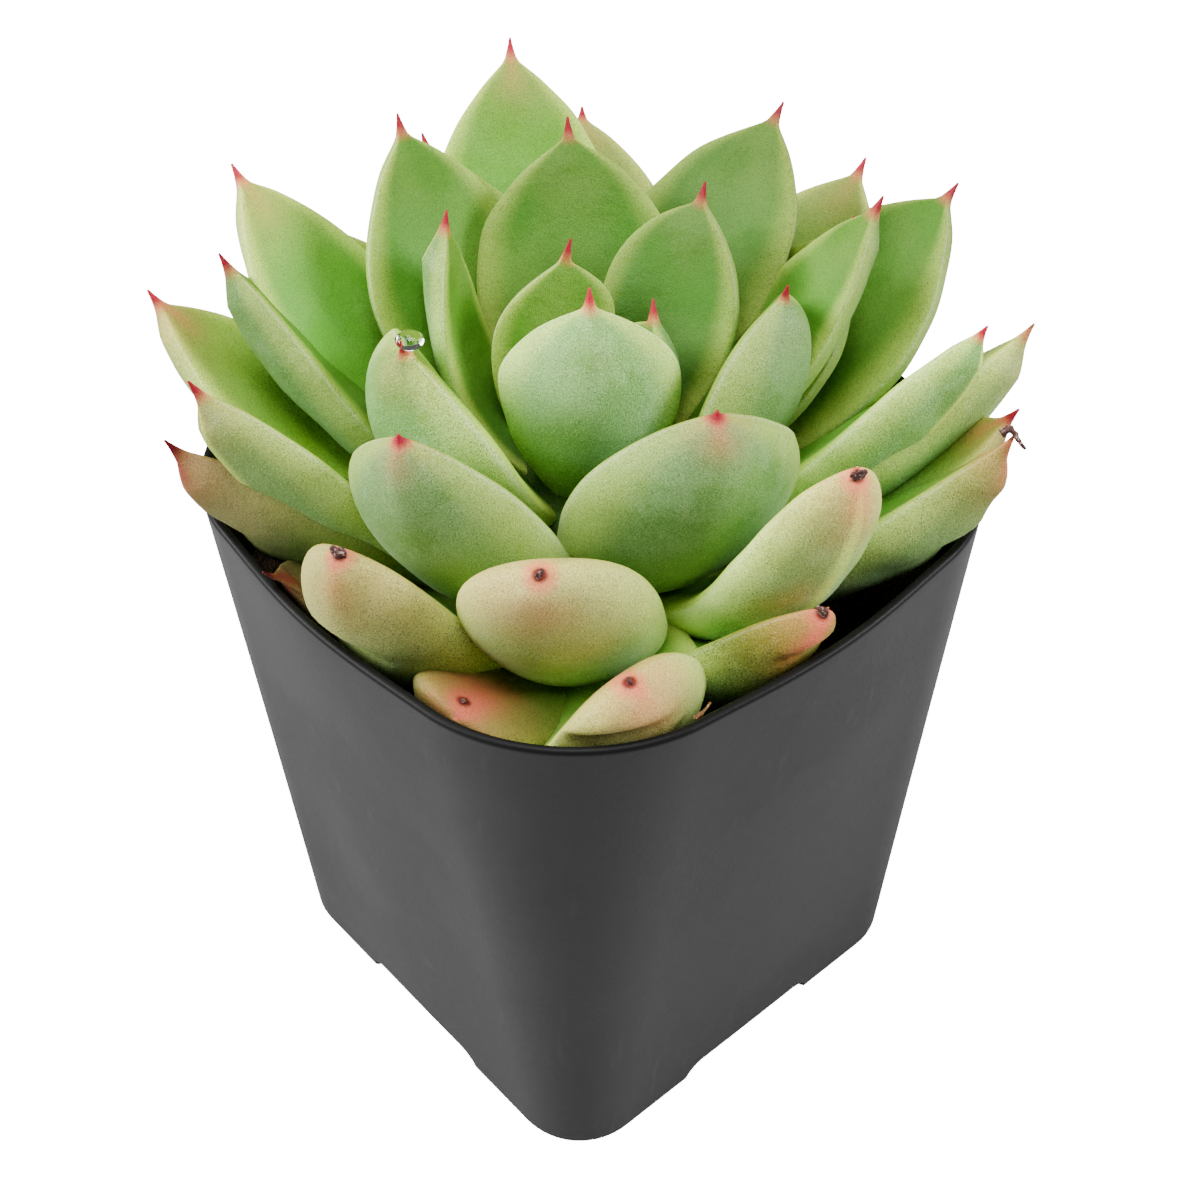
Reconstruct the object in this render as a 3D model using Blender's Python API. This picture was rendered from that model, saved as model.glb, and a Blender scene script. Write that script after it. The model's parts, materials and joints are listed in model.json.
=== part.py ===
"""Potted echeveria: a rosette of fleshy leaves on a short stem, in the soil of a small square nursery pot.

Metres, +Z up. The origin is the middle of the pot's base, and the pot's sides face X and Y. Three solids:
the pot, the soil in it, and the rosette, whose leaves are all fused to its stem and crown.
"""

import math
from typing import NamedTuple

import bmesh
import bpy
import numpy as np

MM = 0.001

# Pot: a 2 1/4 inch nursery pot, square with round corners, its sides bowed out towards the rim
RIM_HEIGHT = 0.0575
RIM_HALF = 0.0266
BASE_HALF = 0.0218
RIM_CORNER = 0.0138
BASE_CORNER = 0.0064
RIM_BOW = 0.071
WALL = 0.0011
FLOOR = 0.0016
POT_SIDES = 64
POT_LEVELS = 7

SHARP_POT = math.radians(35)

# Drain notch at the foot of each side
NOTCH_WIDTH = 0.016
NOTCH_HEIGHT = 0.0025
NOTCH_DEPTH = 0.004

# Soil
GAP = 0.0003
SOIL_TOP = RIM_HEIGHT - 0.0132
SOIL_RELIEF = 0.0005
SOIL_SIDES = 48
SOIL_RINGS = 7

# Stem in its hole in the soil, and the crown that the leaves grow from
STEM_RADIUS = 0.0042
STEM_DEPTH = 0.014
STEM_SHOWN = 0.0006
CROWN_RADIUS = 0.0066
CROWN_FLARE = 0.0025
CROWN_SHOULDER = 0.0020
CROWN_TOP = 0.0060
CROWN_WAIST = 0.6
CROWN_POINT = 0.2
CROWN_SIDES = 16

# Leaf section: angles of its points in degrees, 0 and 180 at the margins and 270 at the keel
SECTION_ANGLES = (0, 45, 90, 135, 180, 212, 242, 270, 298, 328)
FULLNESS = 1.95         # whole thickness over the leaf's half thickness
KEEL_RANGE = (0.3, 0.85)
CUP_RANGE = (0.0, 0.3)

# Leaf along its length
STATIONS = 11
TIP_CROWDING = 1.25     # power that draws the stations towards the tip
SPINE_STEPS = 120       # steps in which the middle line's length is measured
ROOT_REACH = 0.0015
LEAST_BEND = 0.00225    # nearest to the axis that a leaf turns up
FLARE_POWER = 1.2       # how the width grows between the root and the widest place
THIN_POWER = 0.75       # how the thickness follows the width
ROOT_THICKNESS = 0.8    # thickness at the root over the full thickness
THICKENING = 0.5        # how fast the full thickness is reached
AWN_SHARE = 0.45        # part of the spine's length that stands beyond the leaf's own outline
AWN_POINT = 0.00016     # radius of the spine at its point
AWN_FLARE = 1.3         # how the spine widens back from its point
FILLET_POWER = 3.0      # how tightly the leaf's outline and its spine blend
SHARP_LEAF = math.radians(50)

# Leaves pressed against the pot: least clearance to its wall, the depth over which they give way, and how
# fast they spread again above the rim
RIM_CLEARANCE = 0.0005
PRESS_DEPTH = 0.0016
RIM_SPREAD = 1.5

SEED = 7

# Colours of the materials
CHARCOAL = (0.075, 0.075, 0.078)
PEAT = (0.035, 0.026, 0.02)
LEAF_GREEN = (0.30, 0.45, 0.22)


class Habit(NamedTuple):
    """How a kind of leaf is shaped: what changes as a leaf ages."""

    thick: float        # half thickness over half width
    widest: float       # where along the leaf it is widest, 0 to 1
    shoulder: float     # how long the width holds before it closes, a power
    round: float        # how suddenly it closes, a power: a half is a round end
    awn: float          # length of the spine at the tip, mm
    foot: float         # radius of the spine where it leaves the leaf, mm
    sag: float          # how far the leaf has risen where it turns up, over its whole rise
    base: float         # width at the root over the full width
    cup: float          # how far the margins stand up, over the half width
    keel: float = 0.0   # how far the belly's round turns into a keel at the tip
    elbow: float = 1.0  # how sharply the leaf turns up, 1 for an even arc
    top: float = 0.45   # how full the upper face is, over the half thickness


YOUNG = Habit(
    thick=0.34, widest=0.56, shoulder=2.3, round=0.90, awn=3.8, foot=1.30, sag=0.12, base=0.45, cup=0.14,
    keel=0.3,
)
BROAD = Habit(
    thick=0.38, widest=0.58, shoulder=2.2, round=0.82, awn=2.6, foot=1.15, sag=0.10, base=0.42, cup=0.12,
    keel=0.2,
)
SOFT = Habit(
    thick=0.38, widest=0.58, shoulder=2.2, round=0.82, awn=1.1, foot=0.62, sag=0.10, base=0.42, cup=0.12,
    keel=0.2,
)
BLUNT = Habit(
    thick=0.45, widest=0.60, shoulder=2.3, round=0.62, awn=0.8, foot=0.40, sag=0.05, base=0.42, cup=0.12,
    keel=0.15, elbow=1.6, top=0.6,
)
STUBBY = Habit(
    thick=0.42, widest=0.64, shoulder=2.8, round=0.52, awn=0.6, foot=0.35, sag=0.05, base=0.42, cup=0.14,
    elbow=2.0, top=0.85,
)


class Leaf(NamedTuple):
    """One leaf by its tip, in degrees from +X, anticlockwise, and millimetres from the axis and the rim."""

    habit: Habit
    azimuth: float
    reach: float
    rise: float
    width: float
    lean: float         # steepness of its outer half, degrees
    root: float         # height of its root above the rim
    sway: float = 0.0   # how far its root stands clockwise of its tip
    roll: float = 0.0   # turn about its own length, degrees


HEART = (
    Leaf(YOUNG, 160, 2.5, 12.0, 4.0, 85, 3),
    Leaf(YOUNG, 25, 3.0, 12.5, 5.0, 82, 2),
    Leaf(YOUNG, 240, 4.0, 13.5, 6.0, 82, 2),
    Leaf(YOUNG, 75, 5.5, 14.2, 8.0, 75, 3, sway=3),
    Leaf(YOUNG, 320, 4.5, 20.0, 14.0, 92, -1),
    Leaf(YOUNG, 149, 8.0, 16.2, 10.0, 70, 1, sway=-3.2, roll=10),
    Leaf(YOUNG, 192, 13.8, 18.6, 7.0, 86, 0, sway=-2.8, roll=30),
)

INNER = (
    Leaf(YOUNG, 98, 14.0, 19.6, 13.0, 70, -1, sway=0.5),
    Leaf(BROAD, 48, 15.0, 17.2, 17.0, 74, -2, roll=-30),
    Leaf(BROAD, 258, 15.5, 17.5, 19.0, 72, -4, sway=2.8),
    Leaf(SOFT, 353, 16.3, 15.7, 19.5, 76, -6, roll=-18),
    Leaf(YOUNG, 144, 19.0, 20.7, 16.5, 62, -3),
    Leaf(SOFT, 281, 21.5, 16.5, 17.0, 72, -7, roll=15),
    Leaf(YOUNG, 182, 22.2, 22.6, 15.0, 70, -4, sway=-1.6),
    Leaf(YOUNG, 173, 24.5, 18.5, 14.0, 62, -4),
    Leaf(YOUNG, 75, 23.5, 16.5, 14.0, 66, -3),
    Leaf(YOUNG, 65, 23.5, 20.7, 11.0, 63, -4),
    Leaf(YOUNG, 101, 26.0, 21.0, 15.5, 52, -4, sway=-2),
)

OUTER = (
    Leaf(YOUNG, 219, 29.0, 17.0, 13.0, 60, -6, roll=38),
    Leaf(BROAD, 43, 30.0, 15.4, 12.0, 60, -6, sway=-0.8, roll=-45),
    Leaf(YOUNG, 204, 31.2, 20.0, 15.0, 58, -6, sway=-2),
    Leaf(YOUNG, 151, 32.0, 21.3, 16.8, 60, -5, sway=-2.0),
    Leaf(YOUNG, 246, 30.5, 15.2, 14.5, 62, -9, roll=40),
    Leaf(YOUNG, 76, 33.8, 16.4, 19.0, 55, -6, sway=-2),
    Leaf(YOUNG, 51, 34.5, 12.5, 15.0, 56, -7, roll=-35),
    Leaf(YOUNG, 219, 35.5, 12.9, 15.0, 58, -7, roll=8),
    Leaf(YOUNG, 92, 32.0, 15.0, 16.5, 56, -6),
    Leaf(BROAD, 140, 32.0, 14.3, 17.0, 56, -6),
    Leaf(YOUNG, 32, 33.0, 10.2, 17.0, 64, -8, sway=0.8, roll=-30),
    Leaf(YOUNG, 43, 33.4, 7.8, 13.0, 54, -8),
    Leaf(YOUNG, 243, 33.0, 9.0, 16.0, 56, -8, roll=45),
    Leaf(BROAD, 261, 29.0, 2.2, 12.5, 64, -8.5),
)

OLD = (
    Leaf(STUBBY, 311, 25.6, 11.1, 15.1, 65, -9.5, sway=-1.2, roll=12),
    Leaf(BLUNT, 4, 26.3, 14.6, 12.0, 72, -8, sway=0.5, roll=-20),
    Leaf(BLUNT, 279, 27.5, 9.5, 15.0, 72, -9, roll=10),
    Leaf(BLUNT, 357, 27.7, 4.2, 10.0, 62, -8.5, sway=7.5, roll=-30),
    Leaf(STUBBY, 324.5, 28.8, 4.0, 15.0, 82, -9, roll=38),
    Leaf(STUBBY, 299, 29.6, -1.6, 13.0, 36, -9.0, roll=-22),
)

# Leaves of the unseen back: reach, rise, width, lean and root of the upper and of the lower ones
BACK_UPPER = (30.8, 9.5, 14.0, 58, -6.5)
BACK_UPPER_AZIMUTHS = (120, 165, 190)
BACK_LOWER = (28.0, 5.5, 12.0, 68, -8.0)
BACK_LOWER_SPAN = (84, 226)
BACK_LOWER_COUNT = 7
BACK_JITTER = 2.5


def smooth_ramp(low, high, value):
    """Ease from 0 at low to 1 at high, for a number or an array."""
    t = np.clip((value - low) / (high - low), 0.0, 1.0)
    return t * t * (3.0 - 2.0 * t)


def make_material(name, colour, roughness):
    """Principled material with one colour and roughness."""
    material = bpy.data.materials.new(name)
    material.use_nodes = True
    shader = material.node_tree.nodes["Principled BSDF"]
    shader.inputs["Base Color"].default_value = (*colour, 1.0)
    shader.inputs["Roughness"].default_value = roughness
    shader.inputs["Metallic"].default_value = 0.0
    return material


def add_object(name, rings, material=None, smooth=True):
    """Closed body through a stack of equal rings, first to last, with a flat face over each end."""
    mesh = bpy.data.meshes.new(name)
    body = bmesh.new()
    loops = [[body.verts.new(point) for point in ring] for ring in rings]
    count = len(loops[0])
    for lower, upper in zip(loops, loops[1:]):
        for i in range(count):
            j = (i + 1) % count
            body.faces.new((lower[i], lower[j], upper[j], upper[i]))
    body.faces.new(loops[0][::-1])
    body.faces.new(loops[-1])
    bmesh.ops.recalc_face_normals(body, faces=body.faces)
    bmesh.ops.triangulate(body, faces=body.faces)
    body.to_mesh(mesh)
    body.free()
    if smooth:
        mesh.shade_smooth()
    if material:
        mesh.materials.append(material)
    made = bpy.data.objects.new(name, mesh)
    bpy.context.scene.collection.objects.link(made)
    return made


def apply_modifiers(target):
    """Turn the object's evaluated mesh into its own, and clear its modifiers."""
    graph = bpy.context.evaluated_depsgraph_get()
    mesh = bpy.data.meshes.new_from_object(target.evaluated_get(graph))
    target.modifiers.clear()
    target.data = mesh


def remove_objects(objects):
    """Take working objects out of the file."""
    for item in list(objects):
        bpy.data.objects.remove(item, do_unlink=True)


def outline_radius(azimuth, half, corner, bow):
    """Distance from the axis to a rounded square with bowed sides, along each azimuth in radians.

    In one eighth turn the ray meets either the straight side or the corner's arc, and the bow then pushes the
    middle of each side out.
    """
    folded = np.abs(np.mod(azimuth + math.pi / 4, math.pi / 2) - math.pi / 4)
    centre = half - corner
    side = half / np.cos(folded)
    along = centre * (np.cos(folded) + np.sin(folded))
    offset = centre * (np.cos(folded) - np.sin(folded))
    arc = along + np.sqrt(np.maximum(corner**2 - offset**2, 0.0))
    radius = np.where(side * np.sin(folded) <= centre, side, arc)
    return radius * (1.0 + bow * np.cos(2.0 * azimuth) ** 2)


def pot_radius(azimuth, height, inset=0.0):
    """Distance from the axis to the pot's outer face at a height, less an inset."""
    share = np.clip(np.asarray(height) / RIM_HEIGHT, 0.0, 1.0)
    half = BASE_HALF + (RIM_HALF - BASE_HALF) * share
    corner = BASE_CORNER + (RIM_CORNER - BASE_CORNER) * share
    return outline_radius(azimuth, half - inset, corner - inset, RIM_BOW * share)


def pot_ring(height, inset, sides):
    """Ring of points on the pot's outline at a height."""
    azimuth = np.arange(sides) * 2.0 * math.pi / sides
    radius = pot_radius(azimuth, height, inset)
    level = np.full(sides, height)
    return np.stack((radius * np.cos(azimuth), radius * np.sin(azimuth), level), axis=1)


def make_pot(material):
    """Thin shell open at the top, its floor flat on z = 0, with a drain notch at the foot of each side."""
    outside = [pot_ring(z, 0.0, POT_SIDES) for z in np.linspace(0.0, RIM_HEIGHT, POT_LEVELS)]
    inside = [pot_ring(z, WALL, POT_SIDES) for z in np.linspace(RIM_HEIGHT, FLOOR, POT_LEVELS)]
    pot = add_object("pot", outside + inside, material)
    cutters = bpy.data.collections.new("notch_cutters")
    bpy.context.scene.collection.children.link(cutters)
    for turn in range(4):
        cutters.objects.link(make_notch_cutter(turn))
    cut = pot.modifiers.new("drain_notches", "BOOLEAN")
    cut.operation = "DIFFERENCE"
    cut.operand_type = "COLLECTION"
    cut.collection = cutters
    apply_modifiers(pot)
    remove_objects(cutters.objects)
    bpy.data.collections.remove(cutters)
    pot.data.set_sharp_from_angle(angle=SHARP_POT)
    return pot


def make_notch_cutter(turn):
    """Box across the foot of one side, from outside the wall to just inside it."""
    height = NOTCH_HEIGHT + NOTCH_DEPTH
    cutter = bpy.data.meshes.new("notch_cutter")
    body = bmesh.new()
    bmesh.ops.create_cube(body, size=1.0)
    bmesh.ops.scale(body, vec=(2.0 * NOTCH_DEPTH, NOTCH_WIDTH, height), verts=body.verts)
    centre = (BASE_HALF, 0.0, NOTCH_HEIGHT - height / 2.0)
    bmesh.ops.translate(body, vec=centre, verts=body.verts)
    body.to_mesh(cutter)
    body.free()
    made = bpy.data.objects.new("notch_cutter", cutter)
    made.rotation_euler.z = turn * math.pi / 2.0
    made.hide_render = True
    made.display_type = "WIRE"
    return made


def make_soil(material):
    """Soil plug: fills the pot to its surface, with a plain hole for the stem and a gritty top."""
    draw = np.random.default_rng(SEED)
    bottom = FLOOR + GAP
    inset = WALL + GAP
    hole = STEM_RADIUS + GAP
    hole_floor = SOIL_TOP - STEM_DEPTH - GAP
    azimuth = np.arange(SOIL_SIDES) * 2.0 * math.pi / SOIL_SIDES

    def level_ring(share, height):
        edge = pot_radius(azimuth, SOIL_TOP, inset)
        radius = hole + (edge - hole) * share
        return np.stack((radius * np.cos(azimuth), radius * np.sin(azimuth), height), axis=1)

    rings = [pot_ring(bottom, inset, SOIL_SIDES)]
    rings.append(pot_ring(SOIL_TOP, inset, SOIL_SIDES))
    for share in np.linspace(1.0, 0.0, SOIL_RINGS)[1:-1]:
        grit = draw.uniform(-SOIL_RELIEF, SOIL_RELIEF, SOIL_SIDES)
        rings.append(level_ring(share, SOIL_TOP + grit))
    rings.append(level_ring(0.0, np.full(SOIL_SIDES, SOIL_TOP)))
    rings.append(level_ring(0.0, np.full(SOIL_SIDES, hole_floor)))
    return add_object("soil", rings, material)


def leaf_spine(leaf, stations):
    """Points of a leaf's middle line in its own upright plane, as (reach, rise) in metres above the rim.

    A weighted quadratic curve: out from the crown nearly level, then up at the leaf's lean to its tip. Its
    stations crowd towards the tip, where the outline changes fastest. Returns the points, their directions,
    the share of the length at each, and the length.
    """
    root_z = leaf.root * MM
    tip = np.array((leaf.reach, leaf.rise)) * MM
    bend_z = root_z + leaf.habit.sag * (tip[1] - root_z)
    bend_r = tip[0] - (tip[1] - bend_z) / math.tan(math.radians(leaf.lean))
    root = np.array((ROOT_REACH, root_z))
    bend = np.array((max(bend_r, LEAST_BEND), bend_z))

    fine = np.linspace(0.0, 1.0, SPINE_STEPS)[:, None]
    shares = np.hstack(((1.0 - fine) ** 2, 2.0 * leaf.habit.elbow * fine * (1.0 - fine), fine**2))
    way = shares @ np.stack((root, bend, tip)) / shares.sum(axis=1, keepdims=True)
    slope = np.gradient(way, axis=0)
    slope /= np.linalg.norm(slope, axis=1, keepdims=True)
    run = np.concatenate(((0.0,), np.cumsum(np.linalg.norm(np.diff(way, axis=0), axis=1))))
    along = 1.0 - (1.0 - np.linspace(0.0, 1.0, stations)) ** TIP_CROWDING
    line = np.stack([np.interp(along * run[-1], run, way[:, i]) for i in range(2)], axis=1)
    heading = np.stack([np.interp(along * run[-1], run, slope[:, i]) for i in range(2)], axis=1)
    return line, heading, along, run[-1]


def leaf_outline(leaf, along, length):
    """Width share along the leaf, 0 to 1, and the radius of its spine.

    The width swells as a sine to the widest place and closes as 1 less a power, itself to a power. The spine
    is a round cone that widens backwards from its point.
    """
    habit = leaf.habit
    end = 1.0 - AWN_SHARE * habit.awn * MM / length
    rise = np.sin(math.pi / 2.0 * np.clip(along / habit.widest, 0.0, 1.0)) ** FLARE_POWER
    swell = habit.base + (1.0 - habit.base) * rise
    fall = np.clip((along - habit.widest) / (end - habit.widest), 0.0, 1.0)
    close = (1.0 - fall**habit.shoulder) ** habit.round
    back = np.clip((1.0 - along) * length / (habit.awn * MM), 0.0, 1.0)
    awn = AWN_POINT + (habit.foot * MM - AWN_POINT) * back**AWN_FLARE
    return np.where(along < habit.widest, swell, close), awn


def smooth_most(first, second):
    """The greater of two sizes, with a fillet where they are near each other."""
    return (first**FILLET_POWER + second**FILLET_POWER) ** (1.0 / FILLET_POWER)


def leaf_rings(leaf, stations=STATIONS, angles=SECTION_ANGLES):
    """Rings of world points for one leaf, root to tip.

    Each section is a low arch above and a full belly below, which draws into a slight keel towards the tip,
    and its margins stand up by the square of the distance from the middle. The tip ends in a spine.
    """
    habit = leaf.habit
    spine, heading, along, length = leaf_spine(leaf, stations)
    share, awn = leaf_outline(leaf, along, length)
    width = leaf.width * MM
    half = smooth_most(width / 2.0 * share, awn)[:, None]
    plump = np.minimum(1.0, ROOT_THICKNESS + THICKENING * along)
    depth = smooth_most(habit.thick * width / 2.0 * share**THIN_POWER * plump, awn)[:, None]
    turn = np.radians(np.array(angles))[None]
    across, up = np.cos(turn), np.sin(turn)
    keel = habit.keel * smooth_ramp(*KEEL_RANGE, along)[:, None]
    belly = (1.0 - keel) * np.abs(up) + keel * (1.0 - np.abs(across))
    cup = habit.cup * half * across**2 * smooth_ramp(*CUP_RANGE, along)[:, None]
    side = half * across
    lift = np.where(up >= 0.0, habit.top * depth * np.abs(up), (habit.top - FULLNESS) * depth * belly) + cup
    roll = math.radians(leaf.roll) * along[:, None]
    side, lift = side * np.cos(roll) - lift * np.sin(roll), side * np.sin(roll) + lift * np.cos(roll)
    side = side + (leaf.sway * MM * (along**2 - 1.0))[:, None]
    reach = spine[:, :1] - lift * heading[:, 1:]
    rise = spine[:, 1:] + lift * heading[:, :1] + RIM_HEIGHT
    bearing = math.radians(leaf.azimuth)
    x = reach * math.cos(bearing) - side * math.sin(bearing)
    y = reach * math.sin(bearing) + side * math.cos(bearing)
    return press_inside_rim(np.stack((x, y, rise), axis=-1))


def press_inside_rim(points):
    """Keep leaf points out of the pot's wall: near it they crowd ever closer and never reach it."""
    azimuth = np.arctan2(points[..., 1], points[..., 0])
    radius = np.hypot(points[..., 0], points[..., 1])
    over = np.maximum(points[..., 2] - RIM_HEIGHT - RIM_CLEARANCE, 0.0)
    limit = pot_radius(azimuth, points[..., 2], WALL + RIM_CLEARANCE) + RIM_SPREAD * over
    free = limit - PRESS_DEPTH
    beyond = np.maximum(radius - free, 0.0)
    given = PRESS_DEPTH * (1.0 - np.exp(-beyond / PRESS_DEPTH))
    scale = (radius - beyond + given) / np.maximum(radius, MM)
    pressed = points.copy()
    pressed[..., 0] *= np.where(beyond > 0.0, scale, 1.0)
    pressed[..., 1] *= np.where(beyond > 0.0, scale, 1.0)
    return pressed


def back_leaves():
    """Leaves that fill the back, the lower ones evenly spaced between the sides, all a little uneven."""
    draw = np.random.default_rng(SEED)
    lower = np.linspace(*BACK_LOWER_SPAN, BACK_LOWER_COUNT)
    rows = [(azimuth, BACK_UPPER) for azimuth in BACK_UPPER_AZIMUTHS]
    rows += [(azimuth, BACK_LOWER) for azimuth in lower]
    leaves = []
    for azimuth, (reach, rise, width, lean, root) in rows:
        turn, further, higher = draw.uniform(-1.0, 1.0, 3)
        bearing = azimuth + BACK_JITTER * turn
        leaves.append(Leaf(BROAD, bearing, reach + further, rise + higher, width, lean, root))
    return tuple(leaves)


def make_stem(material):
    """Stem in the soil and the crown on it, as one turned body that tapers away among the heart leaves."""
    foot = SOIL_TOP - STEM_DEPTH
    profile = (
        (STEM_RADIUS, foot),
        (STEM_RADIUS, SOIL_TOP + STEM_SHOWN),
        (CROWN_RADIUS, SOIL_TOP + CROWN_FLARE),
        (CROWN_RADIUS, RIM_HEIGHT - CROWN_SHOULDER),
        (CROWN_RADIUS * CROWN_WAIST, RIM_HEIGHT + CROWN_TOP * CROWN_WAIST),
        (CROWN_RADIUS * CROWN_POINT, RIM_HEIGHT + CROWN_TOP),
    )
    turn = np.arange(CROWN_SIDES) * 2.0 * math.pi / CROWN_SIDES
    rings = [
        np.stack((radius * np.cos(turn), radius * np.sin(turn), np.full(CROWN_SIDES, z)), axis=1)
        for radius, z in profile
    ]
    return add_object("rosette", rings, material)


def make_rosette(material):
    """Stem, crown and every leaf fused in one solid."""
    rosette = make_stem(material)
    leaves = bpy.data.collections.new("leaves")
    bpy.context.scene.collection.children.link(leaves)
    for number, leaf in enumerate(HEART + INNER + OUTER + OLD + back_leaves()):
        made = add_object(f"leaf_{number:02d}", leaf_rings(leaf), material)
        bpy.context.scene.collection.objects.unlink(made)
        leaves.objects.link(made)
    fuse = rosette.modifiers.new("fuse_leaves", "BOOLEAN")
    fuse.operation = "UNION"
    fuse.operand_type = "COLLECTION"
    fuse.collection = leaves
    apply_modifiers(rosette)
    remove_objects(leaves.objects)
    bpy.data.collections.remove(leaves)
    fill_sealed_hollows(rosette)
    rosette.data.set_sharp_from_angle(angle=SHARP_LEAF)
    return rosette


def fill_sealed_hollows(target):
    """Keep only the outer skin: drop each closed shell that the fusing sealed inside it."""
    body = bmesh.new()
    body.from_mesh(target.data)
    waiting = set(body.verts)
    shells = []
    while waiting:
        shell = {waiting.pop()}
        edge = list(shell)
        while edge:
            found = edge.pop()
            for link in found.link_edges:
                other = link.other_vert(found)
                if other not in shell:
                    shell.add(other)
                    edge.append(other)
        waiting -= shell
        shells.append(shell)
    skin = max(shells, key=len)
    inner = [vert for shell in shells if shell is not skin for vert in shell]
    bmesh.ops.delete(body, geom=inner, context="VERTS")
    bmesh.ops.triangulate(body, faces=body.faces)
    body.to_mesh(target.data)
    body.free()


def main():
    """Clear the scene and build the three solids."""
    remove_objects(bpy.data.objects)
    make_pot(make_material("charcoal_plastic", CHARCOAL, 0.55))
    make_soil(make_material("dark_soil", PEAT, 0.95))
    make_rosette(make_material("green_leaf", LEAF_GREEN, 0.5))


main()
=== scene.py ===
"""Looks of the potted echeveria: leaves, soil, pot and small finds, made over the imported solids.

Metres, +Z up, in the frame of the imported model: the origin is the middle of the pot's base. Leaf sizes are given
in millimetres from the pot's axis and from its rim, as a gardener would measure them.
"""

from __future__ import annotations

import json
import logging
import math
from collections.abc import Sequence
from dataclasses import dataclass, field, replace
from enum import Enum

import bpy
import numpy as np
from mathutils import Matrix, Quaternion, Vector

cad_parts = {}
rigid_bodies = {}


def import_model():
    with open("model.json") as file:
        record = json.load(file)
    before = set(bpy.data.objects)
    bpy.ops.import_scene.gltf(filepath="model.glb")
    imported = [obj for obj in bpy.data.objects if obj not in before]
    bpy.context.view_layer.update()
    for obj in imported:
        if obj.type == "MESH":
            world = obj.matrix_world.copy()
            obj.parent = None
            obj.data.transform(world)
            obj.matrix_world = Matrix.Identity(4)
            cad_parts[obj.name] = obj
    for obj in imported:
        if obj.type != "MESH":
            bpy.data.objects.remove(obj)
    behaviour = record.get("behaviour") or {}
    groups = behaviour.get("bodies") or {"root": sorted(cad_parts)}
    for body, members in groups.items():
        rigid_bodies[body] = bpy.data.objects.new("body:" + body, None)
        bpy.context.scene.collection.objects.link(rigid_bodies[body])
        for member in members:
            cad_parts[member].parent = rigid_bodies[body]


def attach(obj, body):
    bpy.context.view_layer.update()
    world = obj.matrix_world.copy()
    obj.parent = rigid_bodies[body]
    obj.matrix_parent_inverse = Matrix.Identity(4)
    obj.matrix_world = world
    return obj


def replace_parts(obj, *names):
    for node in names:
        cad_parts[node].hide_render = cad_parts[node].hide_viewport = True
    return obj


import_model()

LOG = logging.getLogger("echeveria")
MM = 0.001
TURN = 2.0 * math.pi

Colour = tuple[float, float, float]
Socket = bpy.types.NodeSocket


# Shapes as whole arrays


def smooth_ramp(low: float, high: float, value: np.ndarray) -> np.ndarray:
    """Ease from 0 at low to 1 at high: 3t^2 - 2t^3, with t the clipped share of the way.

    Args:
        low: Value at which the ramp leaves 0.
        high: Value at which it reaches 1.
        value: Values to ease.

    Returns:
        The eased values, 0 to 1.
    """
    t = np.clip((value - low) / (high - low), 0.0, 1.0)
    return t * t * (3.0 - 2.0 * t)


def ripple(points: np.ndarray, length: float, seed: int, waves: int = 7) -> np.ndarray:
    """Smooth uneven field: the mean of sines of seeded directions, phases and nearly equal wavelengths.

    Args:
        points: Places, with x, y and z on the last axis.
        length: Typical wavelength in metres.
        seed: Seed of the directions and phases.
        waves: How many sines are summed.

    Returns:
        Values from about -1 to 1, one for each place.
    """
    draw = np.random.default_rng(seed)
    heading = draw.normal(size=(waves, 3))
    heading /= np.linalg.norm(heading, axis=1, keepdims=True)
    pitch = TURN / (length * draw.uniform(0.6, 1.6, waves))
    phase = draw.uniform(0.0, TURN, waves)
    return np.sin(points @ (heading * pitch[:, None]).T + phase).sum(axis=-1) / math.sqrt(waves)


@dataclass
class Shell:
    """Points and faces of a surface, with what its finish reads at each point."""

    points: np.ndarray
    quads: np.ndarray
    triangles: np.ndarray
    marks: dict[str, np.ndarray] = field(default_factory=dict)

    @classmethod
    def from_rings(cls, rings: np.ndarray, marks: dict[str, np.ndarray] | None = None) -> Shell:
        """Closed skin through rings of equal count, each end closed by a fan about the ring's middle.

        Args:
            rings: Points as rings by places round each ring by 3.
            marks: Arrays of rings by places by 4, for colour attributes.

        Returns:
            The shell, its faces turned outwards by the sign of its volume.
        """
        rows, around, _ = rings.shape
        index = np.arange(rows * around).reshape(rows, around)
        after = np.roll(index, -1, axis=1)
        quads = np.stack((index[:-1], after[:-1], after[1:], index[1:]), axis=-1).reshape(-1, 4)
        first, last = rows * around, rows * around + 1
        start = np.stack((after[0], index[0], np.full(around, first)), axis=-1)
        end = np.stack((index[-1], after[-1], np.full(around, last)), axis=-1)
        ends = np.stack((rings[0].mean(axis=0), rings[-1].mean(axis=0)))
        points = np.concatenate((rings.reshape(-1, 3), ends))
        values = {
            name: np.concatenate((mark.reshape(-1, 4), mark[0].mean(0)[None], mark[-1].mean(0)[None]))
            for name, mark in (marks or {}).items()
        }
        shell = cls(points, quads, np.concatenate((start, end)), values)
        if shell.volume() < 0.0:
            shell.quads = shell.quads[:, ::-1]
            shell.triangles = shell.triangles[:, ::-1]
        return shell

    def volume(self) -> float:
        """Signed volume: a sixth of the sum of the triple products of every triangle's corners."""
        fans = np.concatenate((self.triangles, self.quads[:, [0, 1, 2]], self.quads[:, [0, 2, 3]]))
        a, b, c = (self.points[fans[:, i]] for i in range(3))
        return float(np.einsum("ij,ij->i", a, np.cross(b, c)).sum() / 6.0)


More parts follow.
